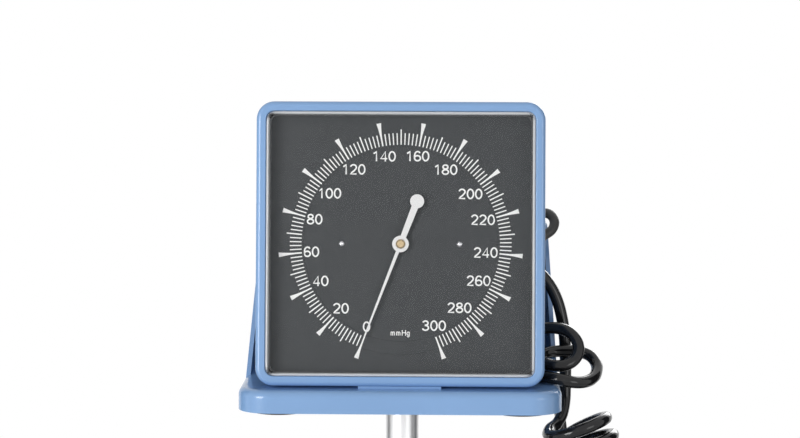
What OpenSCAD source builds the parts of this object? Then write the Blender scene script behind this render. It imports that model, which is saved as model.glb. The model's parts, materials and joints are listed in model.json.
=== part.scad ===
// Clock-dial blood pressure gauge with cuff basket on a wheeled, height-adjustable stand.
// Millimetres, +Z up, the dial faces -Y, origin on the floor under the pole.

/* [Gauge head] */
// Width of the square bezel
head_w = 160; // [150:1:168]
// Height of the square bezel
head_h = 157.5; // [148:0.5:166]
// Outer corner radius of the bezel
head_corner = 10; // [8:0.5:16]
// Width of the bezel's front face
bezel_face = 5.4; // [4.5:0.1:6.5]
// Depth of the bezel's side wall
bezel_depth = 12; // [10:0.5:13]
// Lean of the head away from the reader, in degrees
head_tilt = 6; // [4:0.5:8]
// Depth from the bezel's front to the back of the case
case_depth = 42; // [40:0.5:46]
// Wall thickness of the mouldings
shell_wall = 2.5; // [2:0.1:3]
// Step from the bezel's outside to the case's outside
case_step = 6.25; // [5:0.25:8]
// Thickness of the clear lens
lens_wall = 1.8; // [1.5:0.1:2.2]
// Height of the lens in front of the bezel
lens_proud = 1.2; // [0.5:0.1:2]
// Depth of the dial's face behind the bezel's front
dial_inset = 9; // [8.5:0.1:9.5]
// Thickness of the dial plate
dial_thick = 1; // [0.8:0.1:1.2]

/* [Pointer and movement] */
// Length of the pointer from its centre to its tip
pointer_len = 55.5; // [50:0.5:60]
// Distance from the pointer's centre to its counterweight
pointer_tail = 25.4; // [20:0.2:30]
// Radius of the counterweight disc
weight_r = 3.9; // [3:0.1:5]
// Radius of the pointer's centre disc
boss_r = 4.6; // [4:0.1:5.5]
// Module of the gear teeth
gear_module = 0.4; // [0.36:0.01:0.42]
// Teeth on the pinion
pinion_teeth = 14; // [14:1:16]
// Teeth of the full circle that the sector is cut from
sector_teeth = 140; // [136:1:144]
// Thickness of the sector
sector_thick = 1.5; // [1:0.1:2]
// Radius of the pointer's shaft
arbor_r = 1; // [0.8:0.05:1.2]
// Diameter of the pressure capsule
capsule_d = 56; // [50:1:60]
// Thickness of the pressure capsule
capsule_t = 8; // [7:0.5:9]

/* [Tray and cuff basket] */
// Width of the tray
tray_w = 179.5; // [175:0.5:184]
// Depth of the tray
tray_d = 155; // [148:1:165]
// Height of the tray's rounded rim
tray_h = 12.4; // [11:0.2:16]
// Corner radius of the tray seen from above
tray_corner = 18; // [14:1:24]
// Distance from the tray's front to the bezel's front
tray_lead = 9; // [6:1:14]
// Distance from the tray's front to the side walls
wall_start = 56; // [52:1:62]
// Height of the basket walls over the tray
basket_h = 82; // [70:1:95]
// Inward lean of the side walls, in degrees
wall_lean = 2.7; // [2:0.1:4]
// Height of the tray's top over the floor with the pole down
tray_z = 900; // [880:5:920]
// Width of the bracket that carries the head
bracket_w = 46; // [40:1:54]
// Radius of the rubber feet
foot_r = 17; // [13:0.5:19]
// Height of the rubber feet under the rim
foot_proud = 1.4; // [1:0.1:2.5]

/* [Pole] */
// Outside diameter of the sliding tube
slide_d = 19; // [18:0.5:20]
// Outside diameter of the fixed tube
fixed_d = 25.4; // [25:0.2:27]
// Wall of both tubes
tube_wall = 1.5; // [1.2:0.1:1.8]
// Height of the fixed tube's top over the floor
fixed_top = 580; // [540:5:620]
// Height travel of the sliding tube
travel = 250; // [200:10:260]
// Length of sliding tube that stays in the fixed tube when it is fully out
grip_len = 70; // [60:5:80]

/* [Wheeled base] */
// Distance from the pole to each castor's swivel
base_r = 235; // [210:5:260]
// Radius of the base's hub
hub_r = 36; // [32:1:42]
// Height of the hub's top over the floor
hub_top = 118; // [110:1:130]
// Width of an arm at the hub
arm_root = 40; // [34:1:44]
// Width of an arm at its castor
arm_tip = 28; // [26:1:32]
// Diameter of a castor wheel
wheel_d = 50; // [46:1:54]
// Width of a castor wheel
wheel_w = 17; // [14:1:19]
// Trail of the wheel behind its swivel
wheel_trail = 18; // [14:1:22]

/* [Hose, cuff and bulb] */
// Outside diameter of the coiled hose
hose_d = 6.8; // [6:0.1:7]
// Mean diameter of a curl
curl_d = 34; // [30:1:38]
// Number of curls
curls = 21; // [12:1:24]
// Length of the rolled cuff
cuff_len = 138; // [120:1:142]
// Diameter of the rolled cuff
cuff_d = 50; // [44:1:54]
// Diameter of the hand bulb
bulb_d = 42; // [38:1:45]

/* [Hidden] */
// Fineness of round shapes that stay exact
fine = 64;
// Gap of a shaft that turns in its bore, on the radius
run_gap = 0.05;
// Play taken off each flank of a gear tooth
flank_gap = 0.03;
// Gap between soft or curved pieces that only lie together
lie_gap = 0.3;

// Places of the head
tray_front = -tray_d / 2;
face_y = tray_front + tray_lead;
head_gap = 0.3 + bezel_depth * sin(head_tilt);
case_w = head_w - 2 * case_step;
case_h = head_h - 2 * case_step;
case_corner = 8;
case_round = 3.5;
opening_w = head_w - 2 * bezel_face;
opening_h = head_h - 2 * bezel_face;
opening_corner = head_corner - bezel_face;
dial_back = dial_inset + dial_thick;
sweep_deg = 318;
rest_deg = 21;

// Places of the movement, seen from the front, with the pointer's shaft at zero
pivot_z = -(pinion_teeth + sector_teeth) / 2 * gear_module;
sector_sweep = sweep_deg * pinion_teeth / sector_teeth;
front_plate_y = dial_back + 4;
back_plate_y = front_plate_y + 8;
plate_t = 1.2;
gear_y = front_plate_y + plate_t + 2;
rocker_y = back_plate_y + plate_t + 2.6;
capsule_y = rocker_y + 2.4;
tail_r = 3.5;
finger_len = 4.4;
crank_len = 2.75;
pin_r = 0.6;
shaft_hub_r = 1.15;
rocker_x = -1.35;
rocker_half = asin(tail_r * sin(sector_sweep / 2) / finger_len);
push_x = rocker_x - crank_len;
shaft_z = pivot_z - tail_r;
case_rear_y = case_depth;
port_x = push_x;
port_z = pivot_z - tail_r;
sector_low = 3;
sector_high = ceil(sector_sweep / (360 / sector_teeth)) + 3;

// Places of the tray, pole and base
tray_low = tray_z - tray_h;
rim_round = 4;
pad_t = 5;
flange_t = 4;
flange_r = 30;
socket_top = tray_z - shell_wall - pad_t;
socket_low = tray_low - 11;
slide_top = socket_top - flange_t + 1;
slide_low = fixed_top - travel - grip_len;
fixed_in = fixed_d / 2 - tube_wall;
floor_t = 6;
arm_low = wheel_d + 12;
fixed_low = arm_low + floor_t;
collar_low = fixed_top - 30;
collar_top = fixed_top + 24;
knob_z = fixed_top + 12;
socket_knob_z = tray_low - 8.5;
stud_r = 3;
stem_r = 5.5;
boss_top = arm_low + 24;
foot_x = tray_w / 2 - foot_r - 5.5;
foot_y = tray_d / 2 - foot_r - 3;
wall_in = 1.5;
basket_back = tray_d / 2 - wall_in - shell_wall;

// A rectangle with round corners, made of squares and circles so that it stays exact
module round_rect(w, h, r) {
    square([w - 2 * r, h], center = true);
    square([w, h - 2 * r], center = true);
    for (x = [-1, 1], z = [-1, 1])
        translate([x * (w / 2 - r), z * (h / 2 - r)]) circle(r, $fn = fine);
}

// Sweeps a profile round a rectangle with round corners. X points outward from the
// centre of the corner arc, and Y is up.
module ring_sweep(w, h, r) {
    for (k = [0:3]) {
        across = k % 2 == 0 ? w : h;
        deep = k % 2 == 0 ? h : w;
        rotate([0, 0, 90 * k]) {
            translate([across / 2 - r, deep / 2 - r, 0])
                rotate_extrude(angle = 90, $fn = fine) children();
            translate([0, deep / 2 - r, 0])
                rotate([90, 0, 90])
                    linear_extrude(across - 2 * r, center = true) children();
        }
    }
}

// The same sweep stood up behind a face, with the profile's Y as depth
module face_sweep(w, h, r) {
    rotate([-90, 0, 0]) ring_sweep(w, h, r) children();
}

// A flat outline seen from the front, from one depth to another
module slab(y0, y1) {
    translate([0, y1, 0]) rotate([90, 0, 0]) linear_extrude(y1 - y0) children();
}

// A round bar along the depth, at a place seen from the front
module bar(x, z, r, y0, y1) {
    translate([x, y0, z]) rotate([-90, 0, 0]) cylinder(h = y1 - y0, r = r, $fn = fine);
}

// A lathe shape turned about the depth, its profile's Y as depth
module turned(x, z) {
    translate([x, 0, z]) rotate([-90, 0, 0]) rotate_extrude($fn = fine) children();
}

// Stands its children in the head's own frame: the centre of the bezel's front, leaning back
module at_head() {
    translate([0, face_y, tray_z + head_gap])
        rotate([-head_tilt, 0, 0])
            translate([0, 0, head_h / 2]) children();
}

// A cross-recessed screw, its head at the top of the shank, pointing up
module screw(r, len, head_r, head_t) {
    cylinder(h = len, r = r, $fn = 24);
    translate([0, 0, -head_t])
        difference() {
            cylinder(h = head_t, r1 = head_r * 0.75, r2 = head_r, $fn = 32);
            for (a = [0, 90])
                rotate([0, 0, a]) translate([-head_r * 0.5, -0.3, -1]) cube([head_r, 0.6, 1.5]);
        }
}

// Gear teeth from the involute of their base circle
function inv(a) = tan(a) * 180 / PI - a;
function base_radius(n) = n * gear_module / 2 * cos(20);
function tooth_half(n, rho) = 90 / n - flank_gap / (n * gear_module / 2) * 180 / PI + inv(20)
    - (rho > base_radius(n) ? inv(acos(base_radius(n) / rho)) : 0);
function tooth_radii(n, tip) = [
    n * gear_module / 2 - gear_module * 1.15,
    max(base_radius(n), n * gear_module / 2 - gear_module * 0.8),
    n * gear_module / 2,
    n * gear_module / 2 + tip * gear_module
];
function tooth_points(n, tip, a) = let (rs = tooth_radii(n, tip)) concat(
    [for (i = [0:3]) [rs[i] * cos(a - tooth_half(n, rs[i])), rs[i] * sin(a - tooth_half(n, rs[i]))]],
    [for (i = [3:-1:0]) [rs[i] * cos(a + tooth_half(n, rs[i])), rs[i] * sin(a + tooth_half(n, rs[i]))]]
);

// The bezel's section: X outward from the corner arc's centre, Y the depth
module bezel_section() {
    r = head_corner;
    inner = r - bezel_face;
    soft = bezel_face / 2 - 0.1;
    lip = 0.8;
    difference() {
        union() {
            translate([inner, lip]) square([bezel_face - soft, bezel_depth - lip]);
            translate([inner + lip, 0]) square([bezel_face - soft - lip, bezel_depth]);
            translate([r - soft - 0.1, soft]) square([soft + 0.1, bezel_depth - soft]);
            translate([r - soft, soft]) circle(soft, $fn = fine);
            translate([inner + lip, lip]) circle(lip, $fn = 32);
        }
        translate([inner - 1, lens_flange_y - 0.1])
            square([bezel_face + 1 - shell_wall, bezel_depth]);
    }
}

// Blue frame round the lens
module bezel() color([0.42, 0.6, 0.84]) at_head()
    face_sweep(head_w, head_h, head_corner) bezel_section();

// Section of the case's wall with its rounded rear edge, and of the space inside it
module case_section(inset, back_inset) {
    r = case_corner;
    soft = case_round - inset;
    square([r - inset, case_rear_y - back_inset - soft]);
    square([r - inset - soft, case_rear_y - back_inset]);
    translate([r - inset - soft, case_rear_y - back_inset - soft]) circle(soft, $fn = fine);
}

module case_block(inset, back_inset, from) {
    difference() {
        union() {
            face_sweep(case_w, case_h, case_corner) case_section(inset, back_inset);
            slab(0, case_rear_y - back_inset)
                square([case_w - 2 * case_corner, case_h - 2 * case_corner], center = true);
        }
        slab(-2, from) square([head_w, head_h], center = true);
    }
}

flange_gap = 0.15;
case_post_x = case_w / 2 - 11;
case_post_z = case_h / 2 - 11;
spacer_x = 32.8;
move_posts = [[-26, 7], [26, 7], [29, -45]];

// Blue rear case with a flange inside the bezel, posts for the movement and screw posts
module rear_case() color([0.38, 0.56, 0.8]) at_head() {
    difference() {
        union() {
            difference() {
                case_block(0, 0, dial_back);
                case_block(shell_wall, shell_wall, -1);
            }
            difference() {
                slab(dial_back, bezel_depth)
                    round_rect(
                        head_w - 2 * (shell_wall + flange_gap),
                        head_h - 2 * (shell_wall + flange_gap),
                        head_corner - shell_wall
                    );
                slab(dial_back - 1, bezel_depth + 1)
                    square([case_w - 2 * shell_wall, case_h - 2 * shell_wall], center = true);
            }
            for (x = [-1, 1], z = [-1, 1])
                bar(x * case_post_x, z * case_post_z, 4, dial_back + 2, case_rear_y - 1);
            for (p = move_posts)
                bar(p[0], p[1], 3, back_plate_y + plate_t, case_rear_y - 1);
            bar(port_x, port_z, 9, case_rear_y - shell_wall - 1.5, case_rear_y);
        }
        bar(port_x, port_z, 4, case_rear_y - 8, case_rear_y + 1);
        for (x = [-1, 1], z = [-1, 1]) {
            bar(x * case_post_x, z * case_post_z, 1.5, case_rear_y - 14, case_rear_y + 1);
            bar(x * case_post_x, z * case_post_z, 3.2, case_rear_y - 2.2, case_rear_y + 1);
        }
        for (x = [-1, 1])
            bar(x * upright_screw_x, upright_screw_z, 1.5, case_rear_y - 3, case_rear_y + 1);
        for (z = [-1, 0, 1])
            translate([0, case_rear_y, case_h / 2 - 26 + 6 * z])
                cube([40, 1.6, 2], center = true);
    }
}

// Four screws sunk in the back of the case
module case_screws() color([0.75, 0.75, 0.77]) at_head()
    for (x = [-1, 1], z = [-1, 1])
        translate([x * case_post_x, case_rear_y - 2.2, z * case_post_z])
            rotate([90, 0, 0]) screw(1.45, 10, 3, 1.8);

lens_gap = 0.4;
lens_w = opening_w - 2 * lens_gap;
lens_h = opening_h - 2 * lens_gap;
lens_corner = opening_corner + 1;
lens_flange_y = 3.6;
lens_flange = 2.4;

// Section of the clear lens's wall, its front edge rounded and a flange behind the bezel
module lens_section() {
    r = lens_corner;
    soft = 1.2;
    translate([r - lens_wall, soft - lens_proud])
        square([lens_wall, dial_inset + lens_proud - soft]);
    translate([0, -lens_proud]) square([r - soft, lens_wall]);
    translate([r - soft, soft - lens_proud]) circle(soft, $fn = 32);
    translate([r - 0.1, lens_flange_y]) square([lens_flange + 0.1, 1.4]);
}

// Clear box lens over the dial
module lens() color([0.9, 0.95, 1, 0.3]) at_head() {
    face_sweep(lens_w, lens_h, lens_corner) lens_section();
    slab(-lens_proud, lens_wall - lens_proud)
        square([lens_w - 2 * lens_corner, lens_h - 2 * lens_corner], center = true);
}

// Rubber frame between the lens's flange and the case
module lens_seal() color([0.12, 0.12, 0.13]) at_head() difference() {
    slab(lens_flange_y + 1.4, dial_back)
        round_rect(lens_w + 2 * lens_flange, lens_h + 2 * lens_flange, lens_corner + lens_flange);
    slab(lens_flange_y, dial_back + 1)
        round_rect(lens_w + 0.4, lens_h + 0.4, lens_corner);
}

dial_w = lens_w - 2 * lens_wall - 0.3;
dial_h = lens_h - 2 * lens_wall - 0.3;

// Dark dial plate with its shaft hole and two screw holes
module dial_plate() color([0.29, 0.3, 0.31]) at_head() difference() {
    slab(dial_inset, dial_back) round_rect(dial_w, dial_h, 3);
    bar(0, 0, 2.4, dial_inset - 1, dial_back + 1);
    for (x = [-1, 1]) bar(x * spacer_x, 0, 1.3, dial_inset - 1, dial_back + 1);
}

// Two small domed screws that hold the dial to the movement
module dial_screws() color([0.8, 0.8, 0.8]) at_head()
    for (x = [-1, 1]) {
        turned(x * spacer_x, 0) intersection() {
            translate([0, dial_inset + 0.9]) circle(1.9, $fn = 48);
            translate([0, dial_inset - 1]) square([1.65, 1]);
        }
        bar(x * spacer_x, 0, 1.25, dial_inset, front_plate_y + plate_t);
    }

pointer_y = dial_inset - 3.4;
pointer_t = 0.6;

// White pointer: a tapering needle, a tail bar and a round counterweight
module pointer() color("white") at_head() difference() {
    slab(pointer_y, pointer_y + pointer_t) rotate(rest_turn) {
        polygon([
            [-0.95, 0], [-0.42, 0.4 - pointer_len], [0, -pointer_len], [0.42, 0.4 - pointer_len], [0.95, 0],
            [1.5, 0], [1.95, pointer_tail], [-1.95, pointer_tail], [-1.5, 0]
        ]);
        translate([0, pointer_tail]) circle(weight_r, $fn = fine);
        circle(boss_r, $fn = fine);
    }
    bar(0, 0, 1.7, pointer_y - 1, pointer_y + 1);
}
rest_turn = -rest_deg;

// Brass centre that clamps the pointer to its shaft
module pointer_boss() color([0.72, 0.58, 0.3]) at_head() difference() {
    union() {
        bar(0, 0, 1.7, pointer_y, pointer_y + pointer_t + 1.4);
        turned(0, 0) polygon([
            [0, pointer_y - 1.1], [1.9, pointer_y - 1.1], [2.6, pointer_y - 0.5],
            [2.6, pointer_y], [0, pointer_y]
        ]);
    }
    bar(0, 0, arbor_r, pointer_y - 0.6, pointer_y + 5);
}

// Steel shaft of the pointer with the pinion cut on it
module arbor_pinion() color([0.7, 0.7, 0.72]) at_head() {
    bar(0, 0, arbor_r, pointer_y - 0.6, back_plate_y + plate_t);
    bar(0, 0, spring_in, spring_y - 0.4, spring_y + spring_t + 0.2);
    slab(gear_y - 0.5, gear_y + sector_thick + 0.5) polygon([
        for (k = [0:pinion_teeth - 1]) each tooth_points(pinion_teeth, 0.8, -90 + 360 / pinion_teeth * k)
    ]);
}

spring_y = back_plate_y - 1.3;
spring_t = 0.8;
spring_in = arbor_r + 0.6;
spring_turns = 3;
spring_pitch = 1.1;
ribbon = 0.25;
spring_out = spring_in + spring_turns * spring_pitch + ribbon;
stud_x = spring_out + 0.55;

function on_spiral(a, out) = (spring_in + out + spring_pitch * a / 360) * [cos(a), sin(a)];

// Flat spiral spring that takes up the play of the teeth
module hairspring() color([0.75, 0.6, 0.3]) at_head() slab(spring_y, spring_y + spring_t)
    polygon(concat(
        [for (a = [0:18:360 * spring_turns]) on_spiral(a, 0)],
        [for (a = [360 * spring_turns:-18:0]) on_spiral(a, ribbon)]
    ));

// Toothed sector with a window, its shaft and the tail pin that the rocking shaft pushes
module sector_gear() color([0.76, 0.62, 0.32]) at_head() {
    pitch = 360 / sector_teeth;
    rim_r = sector_teeth * gear_module / 2 - gear_module * 1.15;
    low = 90 + sector_low * pitch;
    high = 90 - sector_high * pitch;
    slab(gear_y, gear_y + sector_thick) translate([0, pivot_z]) {
        polygon(concat(
            [for (k = [sector_high - 1:-1:-sector_low])
                each tooth_points(sector_teeth, 0.8, 90 - (k + 0.5) * pitch)],
            [[rim_r * cos(low), rim_r * sin(low)]],
            [for (i = [0:8]) let (a = low + (high - low) * i / 8) (rim_r - 2.2) * [cos(a), sin(a)]],
            [[rim_r * cos(high), rim_r * sin(high)]]
        ));
        for (a = [low - 1.5, (low + high) / 2, high + 1.5])
            rotate(a) translate([0, -0.9]) square([rim_r - 1, 1.8]);
        circle(2.6, $fn = 32);
        rotate(-90 - sector_sweep / 2) translate([0, -0.8]) square([tail_r + 0.8, 1.6]);
    }
    bar(0, pivot_z, arbor_r, front_plate_y, back_plate_y + plate_t);
    bar(tail_x, tail_z, pin_r, gear_y, rocker_y - finger_len * cos(rocker_half) + 0.7);
}
tail_x = -tail_r * sin(sector_sweep / 2);
tail_z = pivot_z - tail_r * cos(sector_sweep / 2);

// Upright rocking shaft: its finger pushes the sector's tail pin, its crank rides on the push pin
module rocking_shaft() color([0.7, 0.7, 0.72]) at_head()
    translate([rocker_x, rocker_y, shaft_z]) {
        translate([0, 0, -8]) cylinder(h = 16, r = 0.8, $fn = 32);
        rotate([0, 0, -rocker_half]) {
            translate([-0.4, -finger_len, -0.5]) cube([0.8, finger_len, 1]);
            translate([-crank_len, -0.4, -0.5]) cube([crank_len, 0.8, 1]);
            translate([0, 0, -1.2]) cylinder(h = 2.4, r = shaft_hub_r, $fn = 32);
        }
    }

crank_tip_y = rocker_y + crank_len * sin(rocker_half) + 0.4;

// Pin on the capsule's middle that pushes the crank
module push_pin() color([0.72, 0.58, 0.3]) at_head() {
    bar(port_x, port_z, 0.9, crank_tip_y + 0.35, capsule_y - 0.1);
    bar(port_x, port_z, crank_len - shaft_hub_r - 0.2, capsule_y - 0.7, capsule_y - 0.1);
}

module plate_outline() {
    translate([-32, -50]) square([64, 62]);
}

// Front plate of the movement, with the dial's two spacers
module front_plate() color([0.76, 0.62, 0.32]) at_head() difference() {
    union() {
        slab(front_plate_y, front_plate_y + plate_t) {
            plate_outline();
            translate([-36, -5]) square([72, 10]);
        }
        for (x = [-1, 1]) bar(x * spacer_x, 0, 2.5, dial_back, front_plate_y + plate_t);
    }
    bar(0, 0, arbor_r + run_gap, dial_back, gear_y);
    bar(0, pivot_z, arbor_r + run_gap, dial_back, gear_y);
    for (x = [-1, 1]) bar(x * spacer_x, 0, 1.3, dial_inset, gear_y);
    for (x = [-20, 20])
        slab(dial_back, gear_y) translate([x, -28]) circle(7, $fn = fine);
}

// Back plate of the movement, with a window for the finger and two ears for the rocking shaft
module back_plate() color([0.76, 0.62, 0.32]) at_head() difference() {
    union() {
        slab(back_plate_y, back_plate_y + plate_t) plate_outline();
        bar(stud_x, 0, 0.5, spring_y, back_plate_y + 0.5);
        for (s = [-1, 1])
            translate([rocker_x - 2.5, back_plate_y + 0.2, shaft_z + s * 6 - 0.75])
                cube([5, rocker_y - back_plate_y + 1.6, 1.5]);
    }
    bar(0, 0, arbor_r + run_gap, gear_y, rocker_y + 3);
    bar(0, pivot_z, arbor_r + run_gap, gear_y, back_plate_y + plate_t + 0.6);
    translate([rocker_x, rocker_y, shaft_z - 9]) cylinder(h = 18, r = 0.8 + run_gap, $fn = 32);
    translate([rocker_x - 6, back_plate_y - 1, shaft_z - 4]) cube([10, 4, 8]);
}

// Four pillars that space the plates
module pillars() color([0.76, 0.62, 0.32]) at_head()
    for (p = [[-28, 8.5], [28, -10], [-28, -46], [24, -46]])
        bar(p[0], p[1], 2, front_plate_y + plate_t, back_plate_y);

// Corrugated pressure capsule: two diaphragms joined at their rims
module capsule() color([0.72, 0.5, 0.3]) at_head() {
    waves = 5;
    steps = 30;
    rim = capsule_d / 2;
    turned(port_x, port_z) polygon(concat(
        [for (i = [0:steps]) let (r = (rim - 3) * i / steps)
            [r, capsule_y + 1 + 0.5 * cos(360 * waves * i / steps) - 0.5]],
        [[rim, capsule_y + capsule_t / 2 - 0.6], [rim, capsule_y + capsule_t / 2 + 0.6]],
        [for (i = [steps:-1:0]) let (r = (rim - 3) * i / steps)
            [r, capsule_y + capsule_t - 1 - 0.5 * cos(360 * waves * i / steps) + 0.5]]
    ));
}

stem_end = case_rear_y + 4.9;
elbow_y = case_rear_y + 12;
elbow_len = 14;
elbow_turn = 30;

// Brass stem that carries the capsule and leads the pressure in, with its barb outside
module port_fitting() color([0.72, 0.58, 0.3]) at_head() difference() {
    union() {
        bar(port_x, port_z, 7, capsule_y + capsule_t, case_rear_y - shell_wall - 1.5);
        bar(port_x, port_z, 4, capsule_y + capsule_t, stem_end);
        turned(port_x, port_z) polygon([
            [0, stem_end], for (k = [0:1]) each [[2.6, stem_end + 2.6 * k], [2, stem_end + 2.6 * k + 2.6]],
            [0, stem_end + 5.2]
        ]);
    }
    bar(port_x, port_z, 1.1, capsule_y + capsule_t - 1, case_rear_y + 12);
}

// Hex nut and washer on the stem, outside the case
module port_nut() color([0.72, 0.58, 0.3]) at_head() difference() {
    union() {
        bar(port_x, port_z, 7.5, case_rear_y, case_rear_y + 1);
        translate([port_x, case_rear_y + 1, port_z])
            rotate([-90, 0, 0]) cylinder(h = 3.6, r = 6.6, $fn = 6);
    }
    bar(port_x, port_z, 4, case_rear_y - 1, case_rear_y + 6);
}

// Black elbow that turns the pressure from the stem towards the side
module hose_elbow() color([0.1, 0.1, 0.1]) at_head() translate([port_x, 0, port_z]) difference() {
    union() {
        bar(0, 0, 5, stem_end, elbow_y);
        translate([0, elbow_y, 0]) sphere(5, $fn = fine);
        rotate([0, -elbow_turn, 0]) {
            translate([0, elbow_y, 0]) rotate([0, 90, 0]) cylinder(h = elbow_len, r = 4.4, $fn = fine);
            translate([elbow_len - 5, elbow_y, 0]) rotate([0, 90, 0]) cylinder(h = 5, r = 5.2, $fn = fine);
        }
    }
    bar(0, 0, 2.7, case_rear_y, stem_end + 5.6);
}

// Section of the tray's rim, thinned by an inset. X outward from the corner's centre, Y up.
module rim_section(inset) {
    r = tray_corner - inset;
    soft = rim_round - inset;
    square([r - soft, tray_h - inset]);
    square([r, tray_h - inset - soft]);
    translate([r - soft, tray_h - inset - soft]) circle(soft, $fn = fine);
}

// Section of the leaning basket wall with its round top edge
module wall_section() {
    r = tray_corner - wall_in;
    lean = basket_h * tan(wall_lean);
    polygon([
        [r - shell_wall, -2], [r, -2],
        [r - lean, basket_h - shell_wall / 2], [r - lean - shell_wall, basket_h - shell_wall / 2]
    ]);
    translate([r - lean - shell_wall / 2, basket_h - shell_wall / 2]) circle(shell_wall / 2, $fn = 32);
}

// How much further out the side walls stand than the rear one
side_out = 1;
wall_rake = 0.75;
wall_turn = 16;

// Side outline that the walls are cut to: a raked front edge with a round shoulder
module wall_outline() {
    rake = atan(wall_rake);
    foot_at = tray_front + wall_start;
    run = (basket_h - wall_turn + wall_turn * sin(rake)) / cos(rake);
    mid_y = foot_at + run * sin(rake) + wall_turn * cos(rake);
    polygon(concat(
        [[foot_at - 3 * wall_rake, -3]],
        [for (i = [0:8]) let (a = 180 - rake - (90 - rake) * i / 8)
            [mid_y + wall_turn * cos(a), basket_h - wall_turn + wall_turn * sin(a)]],
        [[mid_y, basket_h + 5], [tray_d, basket_h + 5], [tray_d, -3]]
    ));
}

module tray_block(inset) {
    ring_sweep(tray_w, tray_d, tray_corner) rim_section(inset);
    linear_extrude(tray_h - inset)
        square([tray_w - 2 * tray_corner, tray_d - 2 * tray_corner], center = true);
}

screw_ring = 22;
foot_t = 3;
foot_peg_r = 3;

// Blue tray with a rolled rim, the cuff basket's walls, and pads and ribs underneath
module tray() color([0.42, 0.6, 0.84]) difference() {
    union() {
        translate([0, 0, tray_low]) difference() {
            tray_block(0);
            translate([0, 0, -0.01]) tray_block(shell_wall);
        }
        intersection() {
            translate([0, 0, tray_z]) ring_sweep(tray_w + 2 * side_out, tray_d, tray_corner) wall_section();
            translate([0, 0, tray_z]) rotate([90, 0, 90])
                linear_extrude(tray_w + 2 * side_out, center = true) wall_outline();
        }
        translate([0, 0, socket_top]) cylinder(h = pad_t + 1, r = flange_r + 2, $fn = fine);
        for (x = [-1, 1], y = [-1, 1])
            translate([x * foot_x, y * foot_y, tray_low - foot_proud + foot_t])
                cylinder(h = tray_h - shell_wall + foot_proud - foot_t + 1, r = 6, $fn = 32);
        for (s = [-1, 1]) {
            translate([-foot_x, s * 44 - 0.9, tray_z - shell_wall - 5]) cube([2 * foot_x, 1.8, 6]);
            translate([s * 46 - 0.9, -foot_y, tray_z - shell_wall - 5]) cube([1.8, 2 * foot_y, 6]);
        }
    }
    for (a = [45:90:315])
        rotate([0, 0, a]) translate([screw_ring, 0, socket_top - 1]) cylinder(h = 6.5, r = 1.6, $fn = 24);
    for (x = [-1, 1], y = [-1, 1])
        translate([x * foot_x, y * foot_y, tray_low - 5])
            cylinder(h = 5 - foot_proud + foot_t + 6, r = foot_peg_r, $fn = 32);
    for (x = [-1, 1])
        translate([x * foot_screw_x, bracket_foot_y, tray_z - 10]) cylinder(h = 12, r = 1.5, $fn = 24);
}

// Four rubber feet pegged into the tray
module rubber_feet() color([0.08, 0.08, 0.08])
    for (x = [-1, 1], y = [-1, 1]) translate([x * foot_x, y * foot_y, tray_low - foot_proud]) {
        rotate_extrude($fn = fine) {
            square([foot_r - 1, foot_t]);
            translate([0, 1]) square([foot_r, foot_t - 1]);
            translate([foot_r - 1, 1]) circle(1, $fn = 24);
        }
        translate([0, 0, foot_t]) cylinder(h = 5, r = foot_peg_r, $fn = 32);
    }

upright_screw_x = 14;
foot_screw_x = 8;
upright_screw_z = -head_h / 2 + 36;
upright_t = 4;
upright_h = 43;
bracket_foot_y = face_y + case_rear_y + 15;

// Moulded bracket: a saddle under the head, an upright behind it and a foot on the tray
module head_bracket() color([0.4, 0.58, 0.82]) difference() {
    union() {
        translate([-bracket_w / 2, face_y + 1.5, tray_z]) cube([bracket_w, case_rear_y + 20, 3]);
        translate([-bracket_w / 2, face_y + 1.5, tray_z]) cube([bracket_w, case_rear_y, 12]);
        at_head() slab(case_rear_y - 1, case_rear_y + upright_t)
            translate([1.5 - bracket_w / 2, -head_h / 2 - 3]) square([bracket_w - 3, upright_h]);
        for (s = [-1, 1]) translate([s * (bracket_w / 2 - 2) - 1.5, face_y + case_rear_y - 1, tray_z + 1])
            rotate([90, 0, 90]) linear_extrude(3) polygon([[0, 0], [19, 0], [19, 2], [5, 26], [0, 26]]);
    }
    at_head() {
        slab(-6, bezel_depth) square([head_w, head_h], center = true);
        slab(-6, case_rear_y) square([case_w, case_h], center = true);
        for (x = [-1, 1])
            bar(x * upright_screw_x, upright_screw_z, 1.6, case_rear_y - 2, case_rear_y + 9);
        bar(port_x, port_z, 9, case_rear_y - 2, case_rear_y + 9);
    }
    for (x = [-1, 1])
        translate([x * foot_screw_x, bracket_foot_y, tray_z - 1]) cylinder(h = 12, r = 1.6, $fn = 24);
    translate([-bracket_w, face_y - 20, tray_z - 30]) cube([2 * bracket_w, case_rear_y + 60, 30]);
}

// Two screws into the case and two down into the tray
module bracket_screws() color([0.75, 0.75, 0.77]) {
    at_head() for (x = [-1, 1])
        translate([x * upright_screw_x, case_rear_y + upright_t, upright_screw_z])
            rotate([90, 0, 0]) screw(1.45, 6.5, 3, 1.8);
    for (x = [-1, 1])
        translate([x * foot_screw_x, bracket_foot_y, tray_z + 3])
            rotate([180, 0, 0]) screw(1.45, 9, 3, 1.8);
}

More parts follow.
